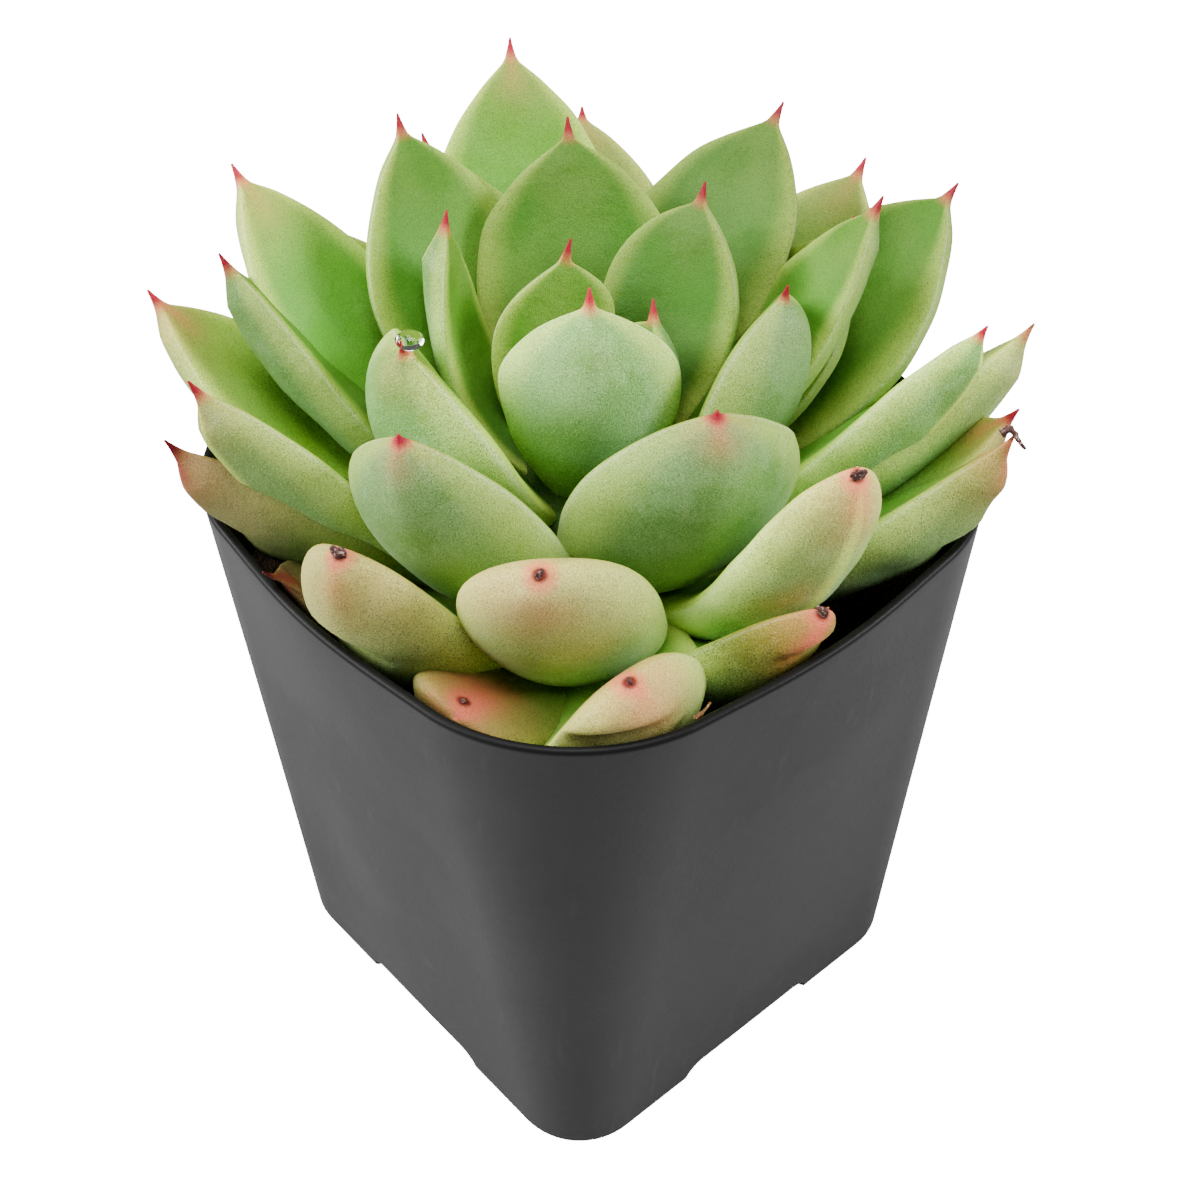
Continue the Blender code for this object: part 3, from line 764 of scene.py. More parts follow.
@dataclass(frozen=True)
class Leaf:
    """One leaf, placed by its tip.

    Attributes:
        kind: Its kind.
        azimuth: Direction of its tip, degrees from +X anticlockwise.
        reach: Distance of its tip from the axis, mm.
        rise: Height of its tip above the pot's rim, mm.
        width: Its greatest width, mm.
        lean: Steepness of its outer half, degrees.
        root: Height of its root above the rim, mm.
        sway: How far its root stands clockwise of its tip, mm.
        roll: Turn about its own length, degrees.
        age: 0 for fresh green, 1 for cream and beige.
        blush: Strength of the orange flush below its tip.
        callus: 1 where the spine has dried to a brown dot.
        spot: How far from the end its dot sits, mm.
        spot_turn: Where round the leaf the dot sits, degrees: 270 is the belly and 90 the upper face.
        ridge: Strength of the pale line along its keel.
        white: How white the bloom is low on its belly.
        bare: How far the bloom is rubbed off near its tip.
        glow: How much warm light shows through its outer part.
        scab: Radius of the scab on the dot, mm.
        tone: How pale it is as a whole, 1 for the usual: partly its own colour, and partly painted light and shadow
            that darkens leaves lying in shadow and pales well lit ones.
    """

    kind: Kind
    azimuth: float
    reach: float
    rise: float
    width: float
    lean: float
    root: float
    sway: float = 0.0
    roll: float = 0.0
    age: float = 0.0
    blush: float = 0.0
    callus: float = 0.0
    spot: float = 0.0
    spot_turn: float = 270.0
    ridge: float = 0.0
    white: float = 0.2
    bare: float = 0.25
    glow: float = 0.1
    scab: float = 0.0
    tone: float = 1.0


YOUNG, BROAD, SOFT, BLUNT, STUBBY = Kind.YOUNG, Kind.BROAD, Kind.SOFT, Kind.BLUNT, Kind.STUBBY

# Each leaf's brightness scale below is partly its own colour and partly painted light and shadow: low for leaves lying
# in shadow, such as those low beside the pot, and high for well lit ones.
HEART = (
    Leaf(YOUNG, 160, 2.5, 12.0, 4.0, 85, 3),
    Leaf(YOUNG, 25, 3.0, 12.5, 5.0, 82, 2),
    Leaf(YOUNG, 240, 4.0, 13.5, 6.0, 82, 2),
    Leaf(YOUNG, 75, 5.5, 14.2, 8.0, 75, 3, sway=3),
    Leaf(YOUNG, 320, 4.5, 20.0, 14.0, 92, -1, white=0.4, tone=1.45),
    Leaf(YOUNG, 149, 8.0, 16.2, 10.0, 70, 1, sway=-3.2, roll=10, glow=0.3),
    Leaf(YOUNG, 192, 13.8, 18.6, 7.0, 86, 0, sway=-2.8, roll=30, ridge=0.8, glow=0.3),
)

INNER = (
    Leaf(YOUNG, 98, 14.0, 19.6, 13.0, 70, -1, sway=0.5, tone=0.74),
    Leaf(BROAD, 48, 15.0, 17.2, 17.0, 74, -2, roll=-30, tone=0.85),
    Leaf(BROAD, 258, 15.5, 17.5, 19.0, 72, -4, sway=2.8, blush=0.15, glow=0.3, bare=0.6, tone=1.2),
    Leaf(SOFT, 353, 16.3, 15.7, 19.5, 76, -6, roll=-18, blush=0.75, white=0.6, tone=0.88),
    Leaf(YOUNG, 144, 19.0, 20.7, 16.5, 62, -3, tone=0.78),
    Leaf(SOFT, 281, 21.5, 16.5, 17.0, 72, -7, roll=15, blush=0.9, white=0.8, tone=0.9),
    Leaf(YOUNG, 182, 22.2, 22.6, 15.0, 70, -4, sway=-1.6),
    Leaf(YOUNG, 173, 24.5, 18.5, 14.0, 62, -4),
    Leaf(YOUNG, 75, 23.5, 16.5, 14.0, 66, -3, tone=0.6),
    Leaf(YOUNG, 65, 23.5, 20.7, 11.0, 63, -4, ridge=0.4, tone=0.88),
    Leaf(YOUNG, 101, 26.0, 21.0, 15.5, 52, -4, sway=-2, tone=0.62),
)

OUTER = (
    Leaf(YOUNG, 219, 29.0, 17.0, 13.0, 60, -6, roll=38, glow=0.3, tone=0.8),
    Leaf(BROAD, 43, 30.0, 15.4, 12.0, 60, -6, sway=-0.8, roll=-45, ridge=0.8, white=0.8, tone=1.55),
    Leaf(YOUNG, 204, 31.2, 20.0, 15.0, 58, -6, sway=-2, age=0.15, blush=0.3, tone=1.45),
    Leaf(YOUNG, 151, 32.0, 21.3, 16.8, 60, -5, sway=-2.0, age=0.1, blush=0.3, glow=0.4, tone=1.3),
    Leaf(YOUNG, 246, 30.5, 15.2, 14.5, 62, -9, roll=40, age=0.25, blush=0.3, ridge=0.7, white=0.6, glow=0.4),
    Leaf(YOUNG, 76, 33.8, 16.4, 19.0, 55, -6, sway=-2, tone=0.78),
    Leaf(YOUNG, 51, 34.5, 12.5, 15.0, 56, -7, roll=-35, age=0.25, blush=0.2, white=0.6, callus=0.6, tone=1.3),
    Leaf(YOUNG, 219, 35.5, 12.9, 15.0, 58, -7, roll=8, age=0.4, blush=0.7, glow=1.2, tone=1.25),
    Leaf(YOUNG, 92, 32.0, 15.0, 16.5, 56, -6, age=0.3, blush=0.4),
    Leaf(BROAD, 140, 32.0, 14.3, 17.0, 56, -6, age=0.4, blush=0.4),
    Leaf(YOUNG, 32, 33.0, 10.2, 17.0, 64, -8, sway=0.8, roll=-30, age=0.35, blush=0.9, callus=0.9, white=0.8, bare=0.7),
    Leaf(YOUNG, 43, 33.4, 7.8, 13.0, 54, -8, age=0.4, blush=1.0, white=0.5),
    Leaf(YOUNG, 243, 33.0, 9.0, 16.0, 56, -8, roll=45, age=1.6, blush=2.4, bare=0.2, tone=0.42),
    Leaf(BROAD, 261, 29.0, 2.2, 12.5, 64, -8.5, age=1.6, blush=2.6, bare=0.2, tone=0.16),
)

OLD = (
    Leaf(
        STUBBY, 311, 25.6, 11.1, 15.1, 65, -9.5, sway=-1.2, roll=12,
        age=0.75, blush=0.4, callus=1.0, spot=0.1, spot_turn=319, white=0.9, bare=0.25, scab=0.42, tone=1.15,
    ),
    Leaf(
        BLUNT, 4, 26.3, 14.6, 12.0, 72, -8, sway=0.5, roll=-20,
        age=0.5, blush=0.6, callus=1.0, spot=0.42, ridge=0.6, white=1.3, bare=0.35, scab=0.62, tone=1.6,
    ),
    Leaf(
        BLUNT, 279, 27.5, 9.5, 15.0, 72, -9, roll=10,
        age=0.9, blush=0.5, callus=1.0, spot=0.1, white=0.5, bare=0.6, scab=0.66, tone=0.95,
    ),
    Leaf(
        BLUNT, 357, 27.7, 4.2, 10.0, 62, -8.5, sway=7.5, roll=-30,
        age=0.4, blush=1.2, callus=1.0, spot=0.36, spot_turn=221, bare=1.3, scab=0.55, tone=1.15,
    ),
    Leaf(
        STUBBY, 324.5, 28.8, 4.0, 15.0, 82, -9, roll=38,
        age=0.55, blush=1.1, callus=1.0, spot=0.2, spot_turn=180, white=0.3, bare=0.15, glow=0.35, scab=0.30, tone=1.1,
    ),
    Leaf(
        STUBBY, 299, 29.6, -1.6, 13.0, 36, -9.0, roll=-22,
        age=0.5, blush=1.8, callus=1.0, spot=1.85, spot_turn=98, bare=0.5, scab=0.26, tone=0.62,
    ),
)


@dataclass
class Rosette:
    """All the leaves, whorl by whorl, with the stem and crown under them."""

    stations: int = 56
    around: int = 44
    seed: int = 7
    back_upper: tuple[float, ...] = (120, 165, 190)
    back_span: tuple[float, float] = (84, 226)
    back_count: int = 7
    back_jitter: float = 2.5
    root_reach: float = 0.0015
    least_bend: float = 0.00225
    fullness: float = 1.95
    awn_point: float = 0.10
    awn_flare: float = 1.3
    blend: float = 3.0
    press_depth: float = 0.0016
    clearance: float = 0.0003
    spread: float = 1.5
    swell_wave: float = 6.5
    swell_height: float = 0.10
    scab_flat: float = 0.5
    scabs: list[tuple[np.ndarray, np.ndarray, float]] = field(default_factory=list)

    def back_leaves(self) -> tuple[Leaf, ...]:
        """Leaves of the side that faces away, by the rule and the seeded draw of the solid rosette."""
        draw = np.random.default_rng(self.seed)
        upper = Leaf(BROAD, 0, 30.8, 9.5, 14.0, 58, -6.5, age=0.2, blush=0.3)
        lower = Leaf(BROAD, 0, 28.0, 5.5, 12.0, 68, -8.0, age=0.5, blush=0.7)
        rows = [(azimuth, upper) for azimuth in self.back_upper]
        rows += [(azimuth, lower) for azimuth in np.linspace(*self.back_span, self.back_count)]
        leaves = []
        for azimuth, like in rows:
            turn, further, higher = draw.uniform(-1.0, 1.0, 3)
            bearing = azimuth + self.back_jitter * turn
            leaves.append(replace(like, azimuth=bearing, reach=like.reach + further, rise=like.rise + higher))
        return tuple(leaves)

    def spine(self, leaf: Leaf) -> tuple[np.ndarray, np.ndarray, np.ndarray, float]:
        """Middle line of a leaf in its own upright plane.

        A weighted quadratic curve runs out from the crown nearly level and turns up at the leaf's lean to its
        tip. The stations crowd towards the tip as a power of the way that is left.

        Args:
            leaf: The leaf.

        Returns:
            Points as reach and rise, unit headings, the share of the length at each, and the length.
        """
        root = np.array((self.root_reach, leaf.root * MM))
        tip = np.array((leaf.reach, leaf.rise)) * MM
        bend_rise = root[1] + leaf.kind.value.sag * (tip[1] - root[1])
        bend_reach = tip[0] - (tip[1] - bend_rise) / math.tan(math.radians(leaf.lean))
        bend = np.array((max(bend_reach, self.least_bend), bend_rise))

        fine = np.linspace(0.0, 1.0, 240)[:, None]
        shares = np.hstack(((1.0 - fine) ** 2, 2.0 * leaf.kind.value.elbow * fine * (1.0 - fine), fine**2))
        way = shares @ np.stack((root, bend, tip)) / shares.sum(axis=1, keepdims=True)
        slope = np.gradient(way, axis=0)
        slope /= np.linalg.norm(slope, axis=1, keepdims=True)
        run = np.concatenate(((0.0,), np.cumsum(np.linalg.norm(np.diff(way, axis=0), axis=1))))
        along = 1.0 - (1.0 - np.linspace(0.0, 1.0, self.stations)) ** 1.35
        line, heading = (
            np.stack([np.interp(along * run[-1], run, values[:, i]) for i in range(2)], axis=1)
            for values in (way, slope)
        )
        return line, heading, along, float(run[-1])

    def leaf_shell(self, leaf: Leaf, number: int) -> Shell:
        """Skin of one leaf.

        Along its length the width swells as a sine to the widest place and closes as 1 less a power, itself to
        a power, and a round spine that widens backwards from its point is blended in by the cube root of the
        sum of cubes. Across, the upper face is a low arch and the lower one a full belly that draws into a
        slight keel towards the tip, and the margins stand up by the square of the distance from the middle.

        Args:
            leaf: The leaf.
            number: Seed of its ripple.

        Returns:
            The shell, with the marks that the leaf finish reads.
        """
        habit = leaf.kind.value
        spine, heading, along, length = self.spine(leaf)
        end = 1.0 - 0.45 * habit.awn * MM / length
        swell = habit.base + (1.0 - habit.base) * np.sin(math.pi / 2 * np.clip(along / habit.widest, 0, 1)) ** 1.2
        fall = np.clip((along - habit.widest) / (end - habit.widest), 0.0, 1.0)
        close = (1.0 - fall**habit.shoulder) ** habit.round
        share = np.where(along < habit.widest, swell, close)
        back = np.clip((1.0 - along) * length / (habit.awn * MM), 0.0, 1.0)
        awn = MM * (self.awn_point + (habit.foot - self.awn_point) * back**self.awn_flare)
        width = leaf.width * MM
        half = self.smooth_most(width / 2.0 * share, awn)[:, None]
        depth = habit.thick * width / 2.0 * share**0.75 * np.minimum(1.0, 0.8 + 0.5 * along)
        depth = self.smooth_most(depth, awn)[:, None]
        turn = (np.arange(self.around) * TURN / self.around)[None]
        across, up = np.cos(turn), np.sin(turn)
        keel = habit.keel * smooth_ramp(0.3, 0.85, along)[:, None]
        belly = (1.0 - keel) * np.abs(up) + keel * (1.0 - np.abs(across))
        cup = habit.cup * half * across**2 * smooth_ramp(0.0, 0.3, along)[:, None]
        side = half * across
        lift = np.where(up >= 0.0, habit.top * depth * np.abs(up), (habit.top - self.fullness) * depth * belly) + cup
        roll = math.radians(leaf.roll) * along[:, None]
        side, lift = side * np.cos(roll) - lift * np.sin(roll), side * np.sin(roll) + lift * np.cos(roll)
        side = side + (leaf.sway * MM * (along**2 - 1.0))[:, None]
        reach = spine[:, :1] - lift * heading[:, 1:]
        rise = spine[:, 1:] + lift * heading[:, :1] + POT.height
        bearing = math.radians(leaf.azimuth)
        x = reach * math.cos(bearing) - side * math.sin(bearing)
        y = reach * math.sin(bearing) + side * math.cos(bearing)
        rings = self.press_inside_rim(np.stack((x, y, rise), axis=-1))
        rings = self.undulate(rings, half, number)
        nearest = int(np.argmin(np.abs((1.0 - along) * length - leaf.spot * MM)))
        turn_index = round(leaf.spot_turn / 360.0 * self.around)
        spot = rings[nearest, turn_index] if leaf.spot else rings[-1].mean(axis=0)
        if leaf.scab:
            self.scabs.append((spot, spot - rings[nearest].mean(axis=0), leaf.scab * MM))
        tip_gap = np.linalg.norm(rings - spot, axis=-1) / (habit.red * MM)
        place = np.stack(
            (
                np.broadcast_to(along[:, None], side.shape),
                np.broadcast_to(0.5 + 0.5 * across, side.shape),
                np.broadcast_to(0.5 + 0.5 * up, side.shape),
                tip_gap,
            ),
            axis=-1,
        )
        growth = np.broadcast_to(np.array((leaf.age, leaf.blush, leaf.callus, leaf.tone)), place.shape)
        form = np.broadcast_to(np.array((leaf.ridge, leaf.white, leaf.bare, leaf.glow)), place.shape)
        return Shell.from_rings(rings, {"place": place, "growth": growth, "form": form})

    def undulate(self, rings: np.ndarray, half: np.ndarray, number: int) -> np.ndarray:
        """Swell the skin a little in and out, more where the leaf is wide, by a ripple of its own.

        Args:
            rings: The leaf's rings.
            half: Half width at each ring.
            number: The leaf's seed.

        Returns:
            The uneven rings.
        """
        outward = rings - rings.mean(axis=1, keepdims=True)
        outward /= np.maximum(np.linalg.norm(outward, axis=-1, keepdims=True), 1e-9)
        wave = self.swell_wave * MM
        height = self.swell_height * MM * ripple(rings, wave, 500 + number) * np.clip(half / (4.0 * MM), 0.0, 1.0)
        return rings + outward * height[..., None]

    def smooth_most(self, first: np.ndarray, second: np.ndarray) -> np.ndarray:
        """The greater of two sizes, with a fillet where they are near each other."""
        return (first**self.blend + second**self.blend) ** (1.0 / self.blend)

    def press_inside_rim(self, points: np.ndarray) -> np.ndarray:
        """Keep leaf points out of the pot's wall: near it they crowd ever closer and never reach it.

        The part of a point's distance beyond the free space is shortened by an exponential that tends to the
        press depth. Above the rim the free space widens with the height.

        Args:
            points: Points with x, y and z on the last axis.

        Returns:
            The moved points.
        """
        azimuth = np.arctan2(points[..., 1], points[..., 0])
        radius = np.hypot(points[..., 0], points[..., 1])
        over = np.maximum(points[..., 2] - POT.height - self.clearance, 0.0)
        limit = POT.radius(azimuth, points[..., 2], POT.wall + self.clearance) + self.spread * over
        beyond = np.maximum(radius - limit + self.press_depth, 0.0)
        given = self.press_depth * (1.0 - np.exp(-beyond / self.press_depth))
        scale = np.where(beyond > 0.0, (radius - beyond + given) / np.maximum(radius, MM), 1.0)
        pressed = points.copy()
        pressed[..., :2] *= scale[..., None]
        return pressed

    def stem_shell(self) -> Shell:
        """Stem and crown: a turned profile from the soil up to the heart, hidden by the leaves above the soil."""
        soil = POT.height - 0.0132
        heights = np.array((soil - 0.014, soil - 0.004, soil + 0.0006, soil + 0.0025, POT.height - 0.002, POT.height + 0.0036))
        radii = np.array((0.0042, 0.0042, 0.0042, 0.0066, 0.0066, 0.0040))
        z = np.linspace(heights[0], heights[-1], 40)
        r = np.interp(z, heights, radii)
        turn = np.arange(40) * TURN / 40
        rings = np.stack((r[:, None] * np.cos(turn), r[:, None] * np.sin(turn), np.broadcast_to(z[:, None], (40, 40))), -1)
        rings[..., :2] *= (1.0 + 0.03 * ripple(rings, 0.003, 5))[..., None]
        marks = np.zeros((40, 40, 4))
        marks[..., 1:3] = 0.5
        marks[..., 3] = 3.0
        growth = np.zeros((40, 40, 4))
        growth[..., 0] = 0.6
        growth[..., 3] = 1.0
        return Shell.from_rings(rings, {"place": marks, "growth": growth, "form": 0.0 * marks})

    def scab_shells(self) -> Shell:
        """Small lumpy scabs where old leaves have lost their spines: squashed balls, uneven by a ripple."""
        shells = []
        for number, (spot, outward, size) in enumerate(self.scabs):
            outward = outward / np.linalg.norm(outward)
            ball = lumpy_ball(20, 28, 0.20, 700 + number) * size
            flat = ball - (1.0 - self.scab_flat) * (ball @ outward)[..., None] * outward
            shells.append(Shell.from_rings(flat + spot))
        return join_shells(shells)

    def build(self, skin: bpy.types.Material, scab: bpy.types.Material) -> None:
        """Make a piece for each whorl, one for the stem, all standing for the solid rosette, and the scabs.

        Args:
            skin: The leaf finish.
            scab: The finish of dried skin.
        """
        whorls = {"heart": HEART, "inner": INNER, "outer": OUTER, "old": OLD, "back": self.back_leaves()}
        number = 0
        for name, leaves in whorls.items():
            shells = []
            for leaf in leaves:
                shells.append(self.leaf_shell(leaf, number))
                number += 1
            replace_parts(place_piece(f"leaves_{name}", join_shells(shells), skin), "rosette")
        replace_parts(place_piece("stem", self.stem_shell(), skin), "rosette")
        place_piece("scabs", self.scab_shells(), scab)


@dataclass
class NurseryPot:
    """The thin moulded pot, with a rounded rim and a drain notch at the foot of each side."""

    form: PotForm = POT
    around: int = 288
    levels: int = 48
    foot_round: float = 0.0012

    def shell(self) -> Shell:
        """Outer face up, over the half-round rim, down the inner face, and over both sides of the floor."""
        form = self.form
        azimuth = np.arange(self.around) * TURN / self.around
        lip = form.wall / 2.0
        foot_turn = np.linspace(0.0, math.pi / 2, 7)
        rim_turn = np.linspace(0.0, math.pi, 11)
        foot = [(self.foot_round * (1 - math.sin(a)), self.foot_round * (1 - math.cos(a))) for a in foot_turn]
        wall = [(0.0, z) for z in np.linspace(self.foot_round, form.height - lip, self.levels)[1:]]
        rim = [(lip - lip * math.cos(a), form.height - lip + lip * math.sin(a)) for a in rim_turn[1:]]
        inner_foot = form.floor + self.foot_round
        inside = [(form.wall, z) for z in np.linspace(form.height - lip, inner_foot, self.levels)[1:]]
        bend = [
            (form.wall + self.foot_round * (1 - math.cos(a)), inner_foot - self.foot_round * math.sin(a))
            for a in foot_turn[1:]
        ]
        profile = np.array(foot + wall + rim + inside + bend)
        radius = np.stack([form.radius(azimuth, z, inset) for inset, z in profile])
        heights = np.broadcast_to(profile[:, 1:], radius.shape)
        rings = np.stack((radius * np.cos(azimuth), radius * np.sin(azimuth), heights), axis=-1)
        return Shell.from_rings(rings)

    def build(self, finish: bpy.types.Material) -> None:
        """Make the pot and cut its notches.

        Args:
            finish: The plastic.
        """
        piece = place_piece("pot_shell", self.shell(), finish)
        cutters = bpy.data.collections.new("notch_cutters")
        bpy.context.scene.collection.children.link(cutters)
        for turn in range(4):
            cutters.objects.link(self.notch_cutter(turn))
        cut = piece.modifiers.new("drain_notches", "BOOLEAN")
        cut.operation = "DIFFERENCE"
        cut.operand_type = "COLLECTION"
        cut.collection = cutters
        graph = bpy.context.evaluated_depsgraph_get()
        mesh = bpy.data.meshes.new_from_object(piece.evaluated_get(graph))
        piece.modifiers.clear()
        piece.data = mesh
        for cutter in list(cutters.objects):
            bpy.data.objects.remove(cutter, do_unlink=True)
        bpy.data.collections.remove(cutters)
        mesh.materials.clear()
        mesh.materials.append(finish)
        mesh.set_sharp_from_angle(angle=math.radians(32))
        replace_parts(piece, "pot")

    def notch_cutter(self, turn: int) -> bpy.types.Object:
        """Rounded bar across the foot of one side, its section a half stadium.

        Args:
            turn: Which side, in quarter turns from +X.

        Returns:
            The cutter.
        """
        form = self.form
        arch = np.linspace(0.0, math.pi / 2, 9)
        corner = form.notch_height * 0.85
        right = form.notch_width / 2.0
        y = np.concatenate((right - corner + corner * np.cos(arch), -(right - corner + corner * np.cos(arch))[::-1]))
        z = np.concatenate((form.notch_height - corner + corner * np.sin(arch),) * 2)
        z[9:] = z[:9][::-1]
        y = np.concatenate(((right,), y, (-right,)))
        z = np.concatenate(((-form.notch_depth,), z, (-form.notch_depth,)))
        depths = np.array((form.base_half - form.notch_depth, form.base_half + form.notch_depth))
        rings = np.stack(
            (np.broadcast_to(depths[:, None], (2, len(y))), np.broadcast_to(y, (2, len(y))), np.broadcast_to(z, (2, len(z)))),
            axis=-1,
        )
        angle = turn * math.pi / 2.0
        x = rings[..., 0] * math.cos(angle) - rings[..., 1] * math.sin(angle)
        rings[..., 1] = rings[..., 0] * math.sin(angle) + rings[..., 1] * math.cos(angle)
        rings[..., 0] = x
        shell = Shell.from_rings(rings)
        mesh = bpy.data.meshes.new("notch_cutter")
        mesh.from_pydata(shell.points.tolist(), [], shell.quads.tolist() + shell.triangles.tolist())
        return bpy.data.objects.new("notch_cutter", mesh)


@dataclass
class PottingSoil:
    """The potting mix: an uneven bed inside the pot, and loose crumbs of bark and grit on it."""

    top: float = POT.height - 0.0132
    gap: float = 0.0003
    hole: float = 0.0045
    relief: float = 0.0007
    around: int = 160
    rows: int = 44
    crumbs: int = 260
    seed: int = 11

    def bed(self) -> Shell:
        """Side wall up from the floor, then rings inwards over a rippled top to the stem's hole."""
        inset = POT.wall + self.gap
        azimuth = np.arange(self.around) * TURN / self.around
        low = POT.floor + self.gap
        edge = POT.radius(azimuth, self.top, inset)
        levels = np.linspace(low, self.top, 10)
        wall_radius = np.stack([POT.radius(azimuth, z, inset) for z in levels])
        wall_height = np.broadcast_to(levels[:, None], wall_radius.shape)
        share = np.linspace(1.0, 0.0, self.rows)[1:, None]
        top_radius = self.hole + (edge - self.hole) * share
        top_height = np.full(top_radius.shape, self.top)
        radius = np.concatenate((wall_radius, top_radius))
        height = np.concatenate((wall_height, top_height))
        rings = np.stack((radius * np.cos(azimuth), radius * np.sin(azimuth), height), axis=-1)
        surface = slice(10, -1)
        bumps = 0.6 * ripple(rings[surface], 0.007, 21) + 0.4 * ripple(rings[surface], 0.0022, 22)
        rings[surface, :, 2] += self.relief * bumps
        hole_floor = rings[-1:].copy()
        hole_floor[..., 2] = self.top - 0.0145
        return Shell.from_rings(np.concatenate((rings, hole_floor)))

    def crumb_shell(self) -> Shell:
        """Loose crumbs: small squashed balls with seeded sizes, lumps and places on the bed."""
        draw = np.random.default_rng(self.seed)
        latitude = np.linspace(0.15, math.pi - 0.15, 6)[:, None]
        longitude = (np.arange(9) * TURN / 9)[None]
        ball = np.stack(
            (np.sin(latitude) * np.cos(longitude), np.sin(latitude) * np.sin(longitude), np.cos(latitude) + 0 * longitude), -1
        )
        shells = []
        for number in range(self.crumbs):
            bearing = draw.uniform(0.0, TURN)
            edge = float(POT.radius(np.array(bearing), self.top, POT.wall + 0.0018))
            reach = self.hole + 0.002 + (edge - self.hole - 0.002) * math.sqrt(draw.uniform())
            size = draw.uniform(0.0003, 0.0010) * np.array((1.0, draw.uniform(0.6, 1.0), draw.uniform(0.5, 0.8)))
            turn = draw.uniform(0.0, TURN)
            lumps = 1.0 + 0.18 * ripple(ball * 0.001, 0.0012, 300 + number)
            shape = ball * lumps[..., None] * size
            x = shape[..., 0] * math.cos(turn) - shape[..., 1] * math.sin(turn)
            y = shape[..., 0] * math.sin(turn) + shape[..., 1] * math.cos(turn)
            middle = np.array((reach * math.cos(bearing), reach * math.sin(bearing), self.top + 0.0002))
            shells.append(Shell.from_rings(np.stack((x, y, shape[..., 2]), axis=-1) + middle))
        return join_shells(shells)

    def build(self, mix: bpy.types.Material, crumb: bpy.types.Material) -> None:
        """Make the bed and the crumbs.

        Args:
            mix: Finish of the bed.
            crumb: Finish of the crumbs.
        """
        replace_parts(place_piece("soil_bed", self.bed(), mix), "soil")
        place_piece("soil_crumbs", self.crumb_shell(), crumb)


@dataclass
class SmallFinds:
    """What the eye finds on the plant: a drop on a leaf tip, a dried curled spine and a scrap of straw.

    Attributes:
        drop_middle: Middle of the drop, mm.
        drop_half: Its half width and half height, mm.
        curl: Places along the dried spine, mm.
        straw: Places along the straw, mm.
    """

    drop_middle: tuple[float, float, float] = (-2.8, -14.75, 75.2)
    drop_half: tuple[float, float] = (1.05, 0.62)
    curl: tuple[tuple[float, float, float], ...] = (
        (27.2, 16.9, 67.6), (27.5, 17.5, 68.0), (27.9, 17.6, 67.8), (28.3, 17.5, 67.5), (28.7, 17.5, 67.2), (29.1, 17.6, 66.9),
    )
    straw: tuple[tuple[float, float, float], ...] = (
        (25.95, -12.9, 56.8), (26.1, -12.4, 57.05), (26.1, -11.9, 57.2), (25.95, -11.3, 57.35),
    )

    def strand(self, knots: tuple[tuple[float, float, float], ...], thick: float, seed: int) -> Shell:
        """Crumpled strand through some places: a tube that thins to its end, its skin uneven by a ripple.

        Args:
            knots: Places along it, mm.
            thick: Radius at its start, mm.
            seed: Seed of the unevenness.

        Returns:
            The shell.
        """
        share = np.linspace(0.0, 1.0, 26)
        places = np.array(knots) * MM
        path = np.stack([np.interp(share, np.linspace(0.0, 1.0, len(knots)), places[:, i]) for i in range(3)], axis=1)
        path[1:-1] = (path[:-2] + 2.0 * path[1:-1] + path[2:]) / 4.0
        rings = tube_rings(path, thick * MM * (1.0 - 0.6 * share), 14)
        outward = rings - path[:, None]
        return Shell.from_rings(path[:, None] + outward * (1.0 + 0.3 * ripple(rings, 0.0005, seed))[..., None])

    def build(self, dried: bpy.types.Material, straw: bpy.types.Material, water: bpy.types.Material) -> None:
        """Make the drop, the dried spine and the straw.

        Args:
            dried: Finish of dried skin.
            straw: Finish of straw.
            water: Finish of the drop.
        """
        wide, high = self.drop_half
        drop = lumpy_ball(28, 40, 0.03, 61) * np.array((wide, wide, high)) * MM
        place_piece("drop", Shell.from_rings(drop + np.array(self.drop_middle) * MM), water)
        place_piece("dried_spine", self.strand(self.curl, 0.30, 62), dried)
        place_piece("straw_scrap", self.strand(self.straw, 0.20, 63), straw)


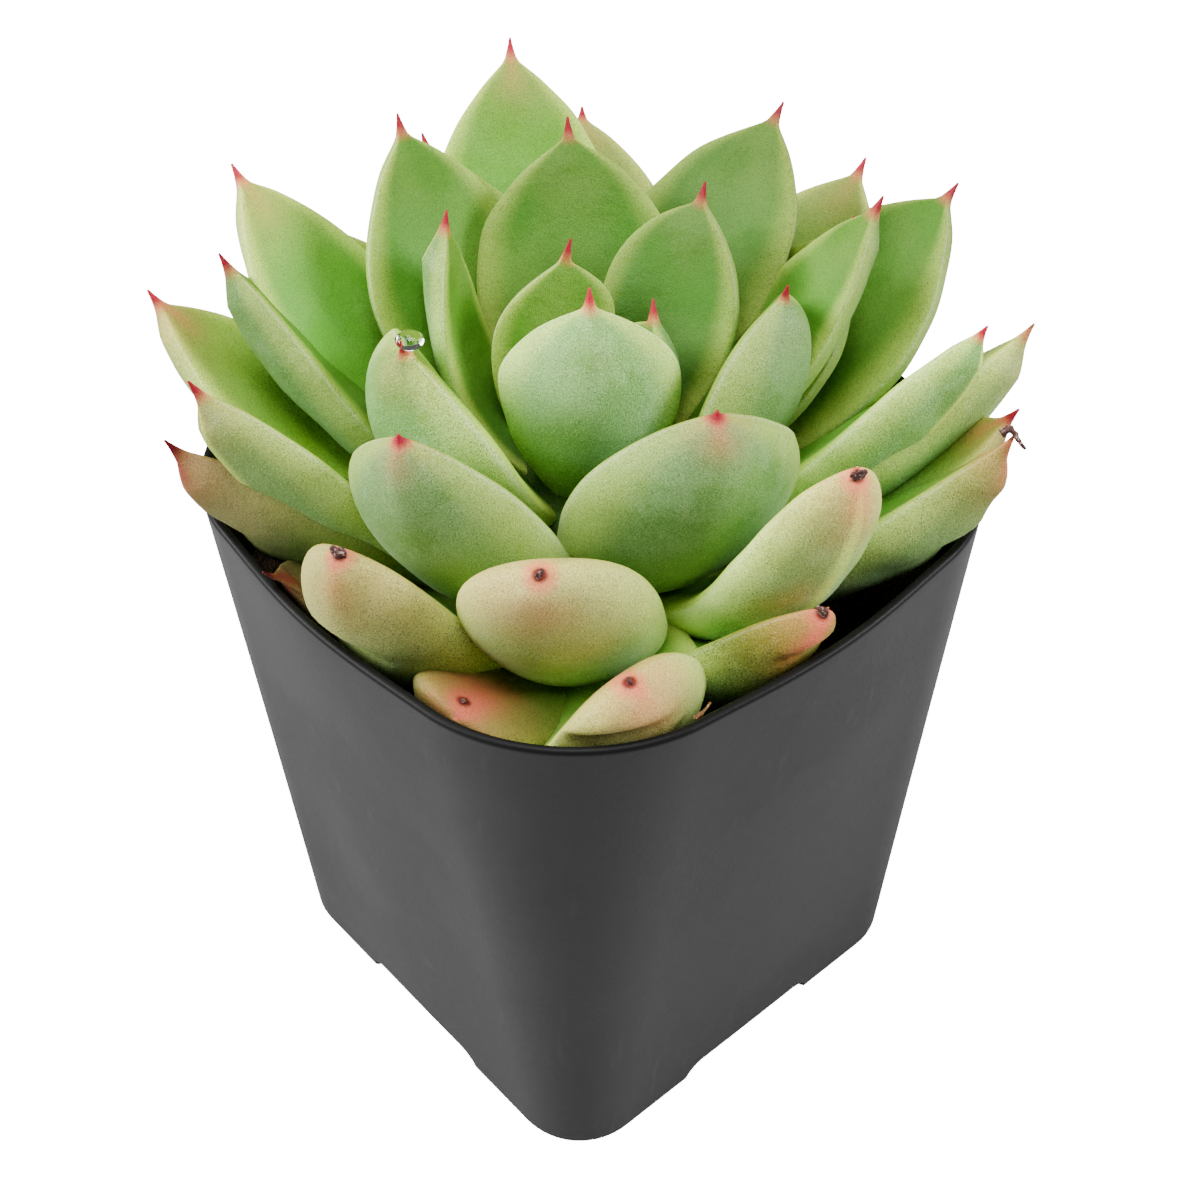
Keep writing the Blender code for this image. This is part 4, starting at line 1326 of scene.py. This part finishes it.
@dataclass
class Studio:
    """Camera where the photograph was taken from, a pale floor, a pale sky and three soft lamps."""

    eye: tuple[float, float, float] = (0.09303, -0.08006, 0.15806)
    heading: tuple[float, float, float] = (-0.54809, 0.47697, -0.68710)
    roll: float = -0.442
    lens: float = 58.25
    floor_half: float = 1.5
    floor_glow: float = 16.0
    sky: float = 0.10

    def build(self) -> None:
        """Make the camera, the floor, the sky and the lamps."""
        self.add_camera()
        self.add_floor()
        self.add_sky()
        self.add_lamp("left_lamp", (-0.50, -0.53, 0.46), 0.45, 14.5)
        self.add_lamp("right_lamp", (0.53, 0.53, 0.46), 0.4, 9.5)
        self.add_lamp("top_lamp", (0.05, -0.08, 0.8), 0.4, 7.0)

    def add_camera(self) -> None:
        """Camera by its place, heading and roll."""
        data = bpy.data.cameras.new("camera")
        data.lens = self.lens
        data.sensor_width = 36.0
        data.clip_start = 0.01
        data.clip_end = 10.0
        camera = bpy.data.objects.new("camera", data)
        camera.location = self.eye
        level = Vector(self.heading).to_track_quat("-Z", "Y")
        camera.rotation_mode = "QUATERNION"
        camera.rotation_quaternion = level @ Quaternion((0.0, 0.0, 1.0), math.radians(self.roll))
        bpy.context.scene.collection.objects.link(camera)
        bpy.context.scene.camera = camera

    def add_floor(self) -> None:
        """Plain pale floor, which isn't part of the object."""
        half = self.floor_half
        mesh = bpy.data.meshes.new("floor")
        mesh.from_pydata([(-half, -half, 0), (half, -half, 0), (half, half, 0), (-half, half, 0)], [], [(0, 1, 2, 3)])
        material, graph, shader = start_material("floor_paper")
        shader.inputs["Base Color"].default_value = (0.34, 0.34, 0.34, 1.0)
        shader.inputs["Roughness"].default_value = 0.9
        seen = graph.node("ShaderNodeLightPath").outputs["Is Camera Ray"]
        glow = graph.node("ShaderNodeEmission", {"Strength": graph.sum("MULTIPLY", seen, self.floor_glow)})
        both = graph.node("ShaderNodeAddShader", {0: shader.outputs[0], 1: glow.outputs[0]})
        graph.feed(material.node_tree.nodes["Material Output"].inputs["Surface"], both.outputs[0])
        mesh.materials.append(material)
        floor = bpy.data.objects.new("floor", mesh)
        floor.location.z = -0.0001
        bpy.context.scene.collection.objects.link(floor)

    def add_sky(self) -> None:
        """Even white light from all round."""
        world = bpy.data.worlds.new("soft_sky")
        world.use_nodes = True
        background = world.node_tree.nodes["Background"]
        background.inputs["Color"].default_value = (1.0, 1.0, 1.0, 1.0)
        background.inputs["Strength"].default_value = self.sky
        bpy.context.scene.world = world

    def add_lamp(self, name: str, place: tuple[float, float, float], size: float, watts: float) -> None:
        """Square soft lamp aimed at the plant.

        Args:
            name: Name of the lamp.
            place: Where it stands.
            size: Length of its side.
            watts: Its power.
        """
        data = bpy.data.lights.new(name, "AREA")
        data.shape = "SQUARE"
        data.size = size
        data.energy = watts
        lamp = bpy.data.objects.new(name, data)
        lamp.location = place
        lamp.rotation_mode = "QUATERNION"
        lamp.rotation_quaternion = (Vector((0.0, 0.0, 0.05)) - Vector(place)).to_track_quat("-Z", "Y")
        bpy.context.scene.collection.objects.link(lamp)


def main() -> None:
    """Build the scene piece by piece."""
    logging.basicConfig(level=logging.INFO, format="%(name)s: %(message)s")
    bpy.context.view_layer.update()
    effects = Effects()
    Studio().build()
    dried = ScabFinish().build(effects)
    Rosette().build(LeafFinish().build(effects), dried)
    NurseryPot().build(PotFinish().build(effects))
    crumb = SoilFinish(peat=(0.05, 0.03, 0.018), bark=(0.16, 0.10, 0.06), name="bark_and_grit", gritty=0.8)
    PottingSoil().build(SoilFinish().build(effects), crumb.build(effects))
    straw = ScabFinish(dark=(0.16, 0.075, 0.015), pale=(0.62, 0.40, 0.12), name="straw").build(effects)
    SmallFinds().build(dried, straw, WaterFinish().build())


if __name__ == "__main__":
    main()
